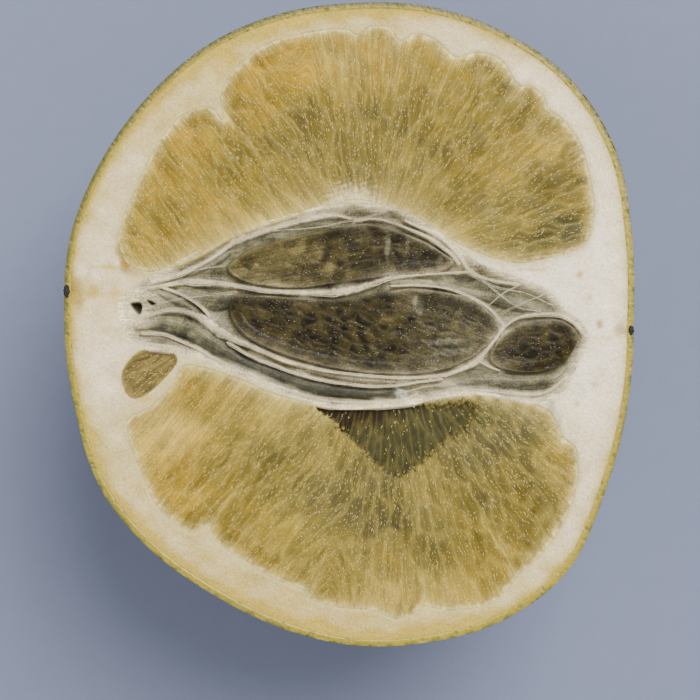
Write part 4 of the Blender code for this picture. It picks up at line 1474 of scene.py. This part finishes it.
class BERGAMOT_OT_build_pulp(BuildOperator, bpy.types.Operator):
    """Build the two lobes of pulp and the stray cell beside the stem end"""
    bl_idname = "bergamot.build_pulp"
    bl_label = "Pulp"

    def build(self, scene):
        look = scene.bergamot_pulp
        tree = sac_tree()
        material = pulp_material("pulp", look.sac_length / MM * 0.8, look,
                                 0.25, 0.02, 0.12)
        for name, outline, values, spacing in (
                ("pulp_left", LEFT_LOBE, left_lobe, LOBE_SPACING),
                ("pulp_right", RIGHT_LOBE, right_lobe, LOBE_SPACING),
                ("pulp_stray", STRAY_CELL, stray_cell, STRAY_SPACING)):
            mesh = surface(name, [(line(outline, 0.3), 1, 0.12)], spacing, values,
                           PULP_WALL)
            mesh = grown(name, mesh, tree, sac_width=look.sac_width / MM,
                         sac_length=look.sac_length / MM, groove=look.groove,
                         seed=float(SEED), material=material)
            place(name, mesh, "flesh")


class BERGAMOT_OT_build_core(BuildOperator, bpy.types.Operator):
    """Build the open core with its sunk segments and raised membranes"""
    bl_idname = "bergamot.build_core"
    bl_label = "Core"

    def build(self, scene):
        look = scene.bergamot_core
        mesh = surface("core", [(line(CORE, 0.3), 1, 0.3)], CORE_SPACING, core, CORE_WALL)
        mesh = grown("core", mesh, sac_tree(), sac_width=look.sac_width / MM,
                     sac_length=look.sac_length / MM, groove=look.groove,
                     seed=float(SEED + 3),
                     material=pulp_material("core", 2.6, look, 0.15, 0.04, 0.5, 0.7))
        place("core", mesh, "flesh")


class BERGAMOT_OT_build_strands(BuildOperator, bpy.types.Operator):
    """Build the thin fibres along the membranes and across the core"""
    bl_idname = "bergamot.build_strands"
    bl_label = "Strands"

    def build(self, scene):
        look = scene.bergamot_core
        tree = strand_tree()
        material = plain_material("membrane", STRAND_COLOUR, 0.4, 0.3, 0.3)
        wisps = [[(x, y, 0.5) for x, y in path] for path in WISPS]
        for name, paths, count, scale in (
                ("membrane_strands", WEBS.values(), 5, 1.0), ("wisps", wisps, 3, 0.6)):
            points, links, spread = [], [], []
            for path in paths:
                track = line(path, 0.5, closed=False)
                links += [(len(points) + i, len(points) + i + 1)
                          for i in range(len(track) - 1)]
                points += [(x * MM, y * MM, (CUT - 0.08) * MM) for x, y, _ in track]
                spread += [wide for _, _, wide in track]
            mesh = bpy.data.meshes.new(name)
            mesh.from_pydata(points, links, [])
            keep_values(mesh, spread=np.array(spread))
            mesh = grown(name, mesh, tree, count=count,
                         thickness=look.strand_thickness * scale,
                         spread=look.strand_spread, seed=float(SEED), sides=5,
                         material=material)
            place(name, mesh, "membrane")


class BERGAMOT_OT_build_glints(BuildOperator, bpy.types.Operator):
    """Scatter the small pale slivers of torn sacs over the pulp, coloured as painted glints
    """
    bl_idname = "bergamot.build_glints"
    bl_label = "Glints"

    def build(self, scene):
        look = scene.bergamot_pulp
        tree = glint_tree()
        material = plain_material("glint", look.glint_colour, 0.3, 0.5)
        wet_glint = plain_material("wet_glint", scene.bergamot_core.wet_glint_colour, 0.25, 0.5)
        for number, source in enumerate(
                ("pulp_left", "pulp_right", "pulp_stray", "core")):
            if source not in bpy.data.objects:
                raise RuntimeError(f"build {source} before its glints")
            name = source + "_glints"
            # On the core the slivers are smaller specks, painted glints of its wet sacs.
            wet = source == "core"
            many, long, wide = WET_GLINTS if wet else (1, 1, 1)
            mesh = grown(name, bpy.data.objects[source].data.copy(), tree,
                         density=look.glint_density * many / MM ** 2,
                         length=look.glint_length * long, width=look.glint_width * wide,
                         seed=SEED + number, material=wet_glint if wet else material)
            place(name, mesh, "flesh")


class BERGAMOT_OT_build_scars(BuildOperator, bpy.types.Operator):
    """Build the woody stem scar and the small blossom scar, cut with the fruit"""
    bl_idname = "bergamot.build_scars"
    bl_label = "Scars"

    def build(self, scene):
        material = plain_material("scar", SCAR_COLOUR, 0.75)
        for name, outward, y, wide, proud in SCARS:
            turn = math.atan2(y * MM / scene.bergamot_fruit.half_width, outward)
            way = np.array([[math.cos(turn), math.sin(turn), 0.0]])
            middle = skin_point(way, 0.3)[0]
            bm = bmesh.new()
            bmesh.ops.create_uvsphere(bm, u_segments=48, v_segments=32, radius=1)
            for vert in bm.verts:
                away = np.array(vert.co)
                lump = waves((away * 3)[None, :2], 1.6, SEED)[0] * 0.12
                lump += waves((away * 3)[None, 1:], 1.1, SEED + 1)[0] * 0.10
                spot = away * (1 + lump) * (proud, wide, wide)
                vert.co = (middle + spot + (0, 0, CUT - 0.02)) * MM
            cut = bmesh.ops.bisect_plane(
                bm, geom=bm.verts[:] + bm.edges[:] + bm.faces[:], dist=1e-9,
                plane_co=(0, 0, (CUT + 0.01) * MM), plane_no=(0, 0, 1), clear_outer=True)
            bmesh.ops.triangle_fill(bm, use_beauty=True, edges=[
                item for item in cut["geom_cut"] if isinstance(item, bmesh.types.BMEdge)])
            bmesh.ops.recalc_face_normals(bm, faces=bm.faces)
            mesh = bpy.data.meshes.new(name)
            bm.to_mesh(mesh)
            bm.free()
            mesh.materials.append(material)
            place(name, mesh, "scar")


class BERGAMOT_OT_set_stage(BuildOperator, bpy.types.Operator):
    """Set the plain floor, the soft lights and the camera over the cut face"""
    bl_idname = "bergamot.set_stage"
    bl_label = "Stage"

    def build(self, scene):
        look = scene.bergamot_stage
        floor = bpy.data.meshes.new("floor")
        floor.from_pydata([(x * FLOOR_HALF, y * FLOOR_HALF, 0) for x, y in (
            (-1, -1), (1, -1), (1, 1), (-1, 1))], [], [(0, 1, 2, 3)])
        material = bpy.data.materials.new("floor")
        material.use_nodes = True
        tree = material.node_tree
        grain = use_group(tree, shared("Grain"), Color=opaque(look.floor_colour),
                          Mottle=0.02, Grain=0.1, Size=1.0)
        fill(tree, tree.nodes["Principled BSDF"],
             {"Base Color": grain["Color"], "Roughness": 0.9})
        floor.materials.append(material)
        ground = bpy.data.objects.new("floor", floor)
        scene.collection.objects.link(ground)
        for name, spot, size, power in (
                ("key", (0.25, 0.40, 0.70), look.key_size, look.key_power),
                ("side", (-0.7, -0.25, 0.55), 0.9, look.key_power * 0.25),
                ("low", (0.2, -0.8, 0.5), 0.9, look.key_power * 0.15)):
            lamp = bpy.data.lights.new(name, "AREA")
            lamp.shape, lamp.size, lamp.energy = "DISK", size, power
            lit = bpy.data.objects.new(name, lamp)
            lit.location = spot
            lit.rotation_euler = (-Vector(spot)).to_track_quat("-Z", "Y").to_euler()
            scene.collection.objects.link(lit)
        world = bpy.data.worlds.new("studio")
        world.use_nodes = True
        fill(world.node_tree, world.node_tree.nodes["Background"],
             {"Color": SKY_COLOUR, "Strength": look.fill})
        scene.world = world
        lens = bpy.data.cameras.new("camera")
        lens.lens, lens.sensor_width = look.lens, 36.0
        lens.clip_start = 0.01
        camera = bpy.data.objects.new("camera", lens)
        camera.location = (look.camera_x, look.camera_y, CUT * MM + look.camera_height)
        camera.rotation_euler = (0, 0, 0)
        scene.collection.objects.link(camera)
        scene.camera = camera


BUILD_ORDER = (
    BERGAMOT_OT_build_rind, BERGAMOT_OT_build_pith, BERGAMOT_OT_build_pulp,
    BERGAMOT_OT_build_core, BERGAMOT_OT_build_strands, BERGAMOT_OT_build_glints,
    BERGAMOT_OT_build_scars, BERGAMOT_OT_set_stage,
)
SETTINGS = (
    ("bergamot_fruit", FruitSettings), ("bergamot_pulp", PulpSettings),
    ("bergamot_core", CoreSettings), ("bergamot_stage", StageSettings),
)


class BERGAMOT_PT_panel(bpy.types.Panel):
    """Lists the pieces of the bergamot half and their settings"""
    bl_idname = "BERGAMOT_PT_panel"
    bl_label = "Bergamot Half"
    bl_space_type = "VIEW_3D"
    bl_region_type = "UI"
    bl_category = "Bergamot"

    def draw(self, context):
        for operator in BUILD_ORDER:
            self.layout.operator(operator.bl_idname)
        for name, kind in SETTINGS:
            box = self.layout.box()
            box.label(text=kind.__doc__)
            for key in kind.__annotations__:
                box.prop(getattr(context.scene, name), key)


def register():
    for name, kind in SETTINGS:
        bpy.utils.register_class(kind)
        setattr(bpy.types.Scene, name, PointerProperty(type=kind))
    for kind in (*BUILD_ORDER, BERGAMOT_PT_panel):
        bpy.utils.register_class(kind)


def unregister():
    for kind in (BERGAMOT_PT_panel, *reversed(BUILD_ORDER)):
        bpy.utils.unregister_class(kind)
    for name, kind in reversed(SETTINGS):
        delattr(bpy.types.Scene, name)
        bpy.utils.unregister_class(kind)


def main():
    register()
    for operator in BUILD_ORDER:
        group, name = operator.bl_idname.split(".")
        getattr(getattr(bpy.ops, group), name)()


if __name__ == "__main__":
    main()
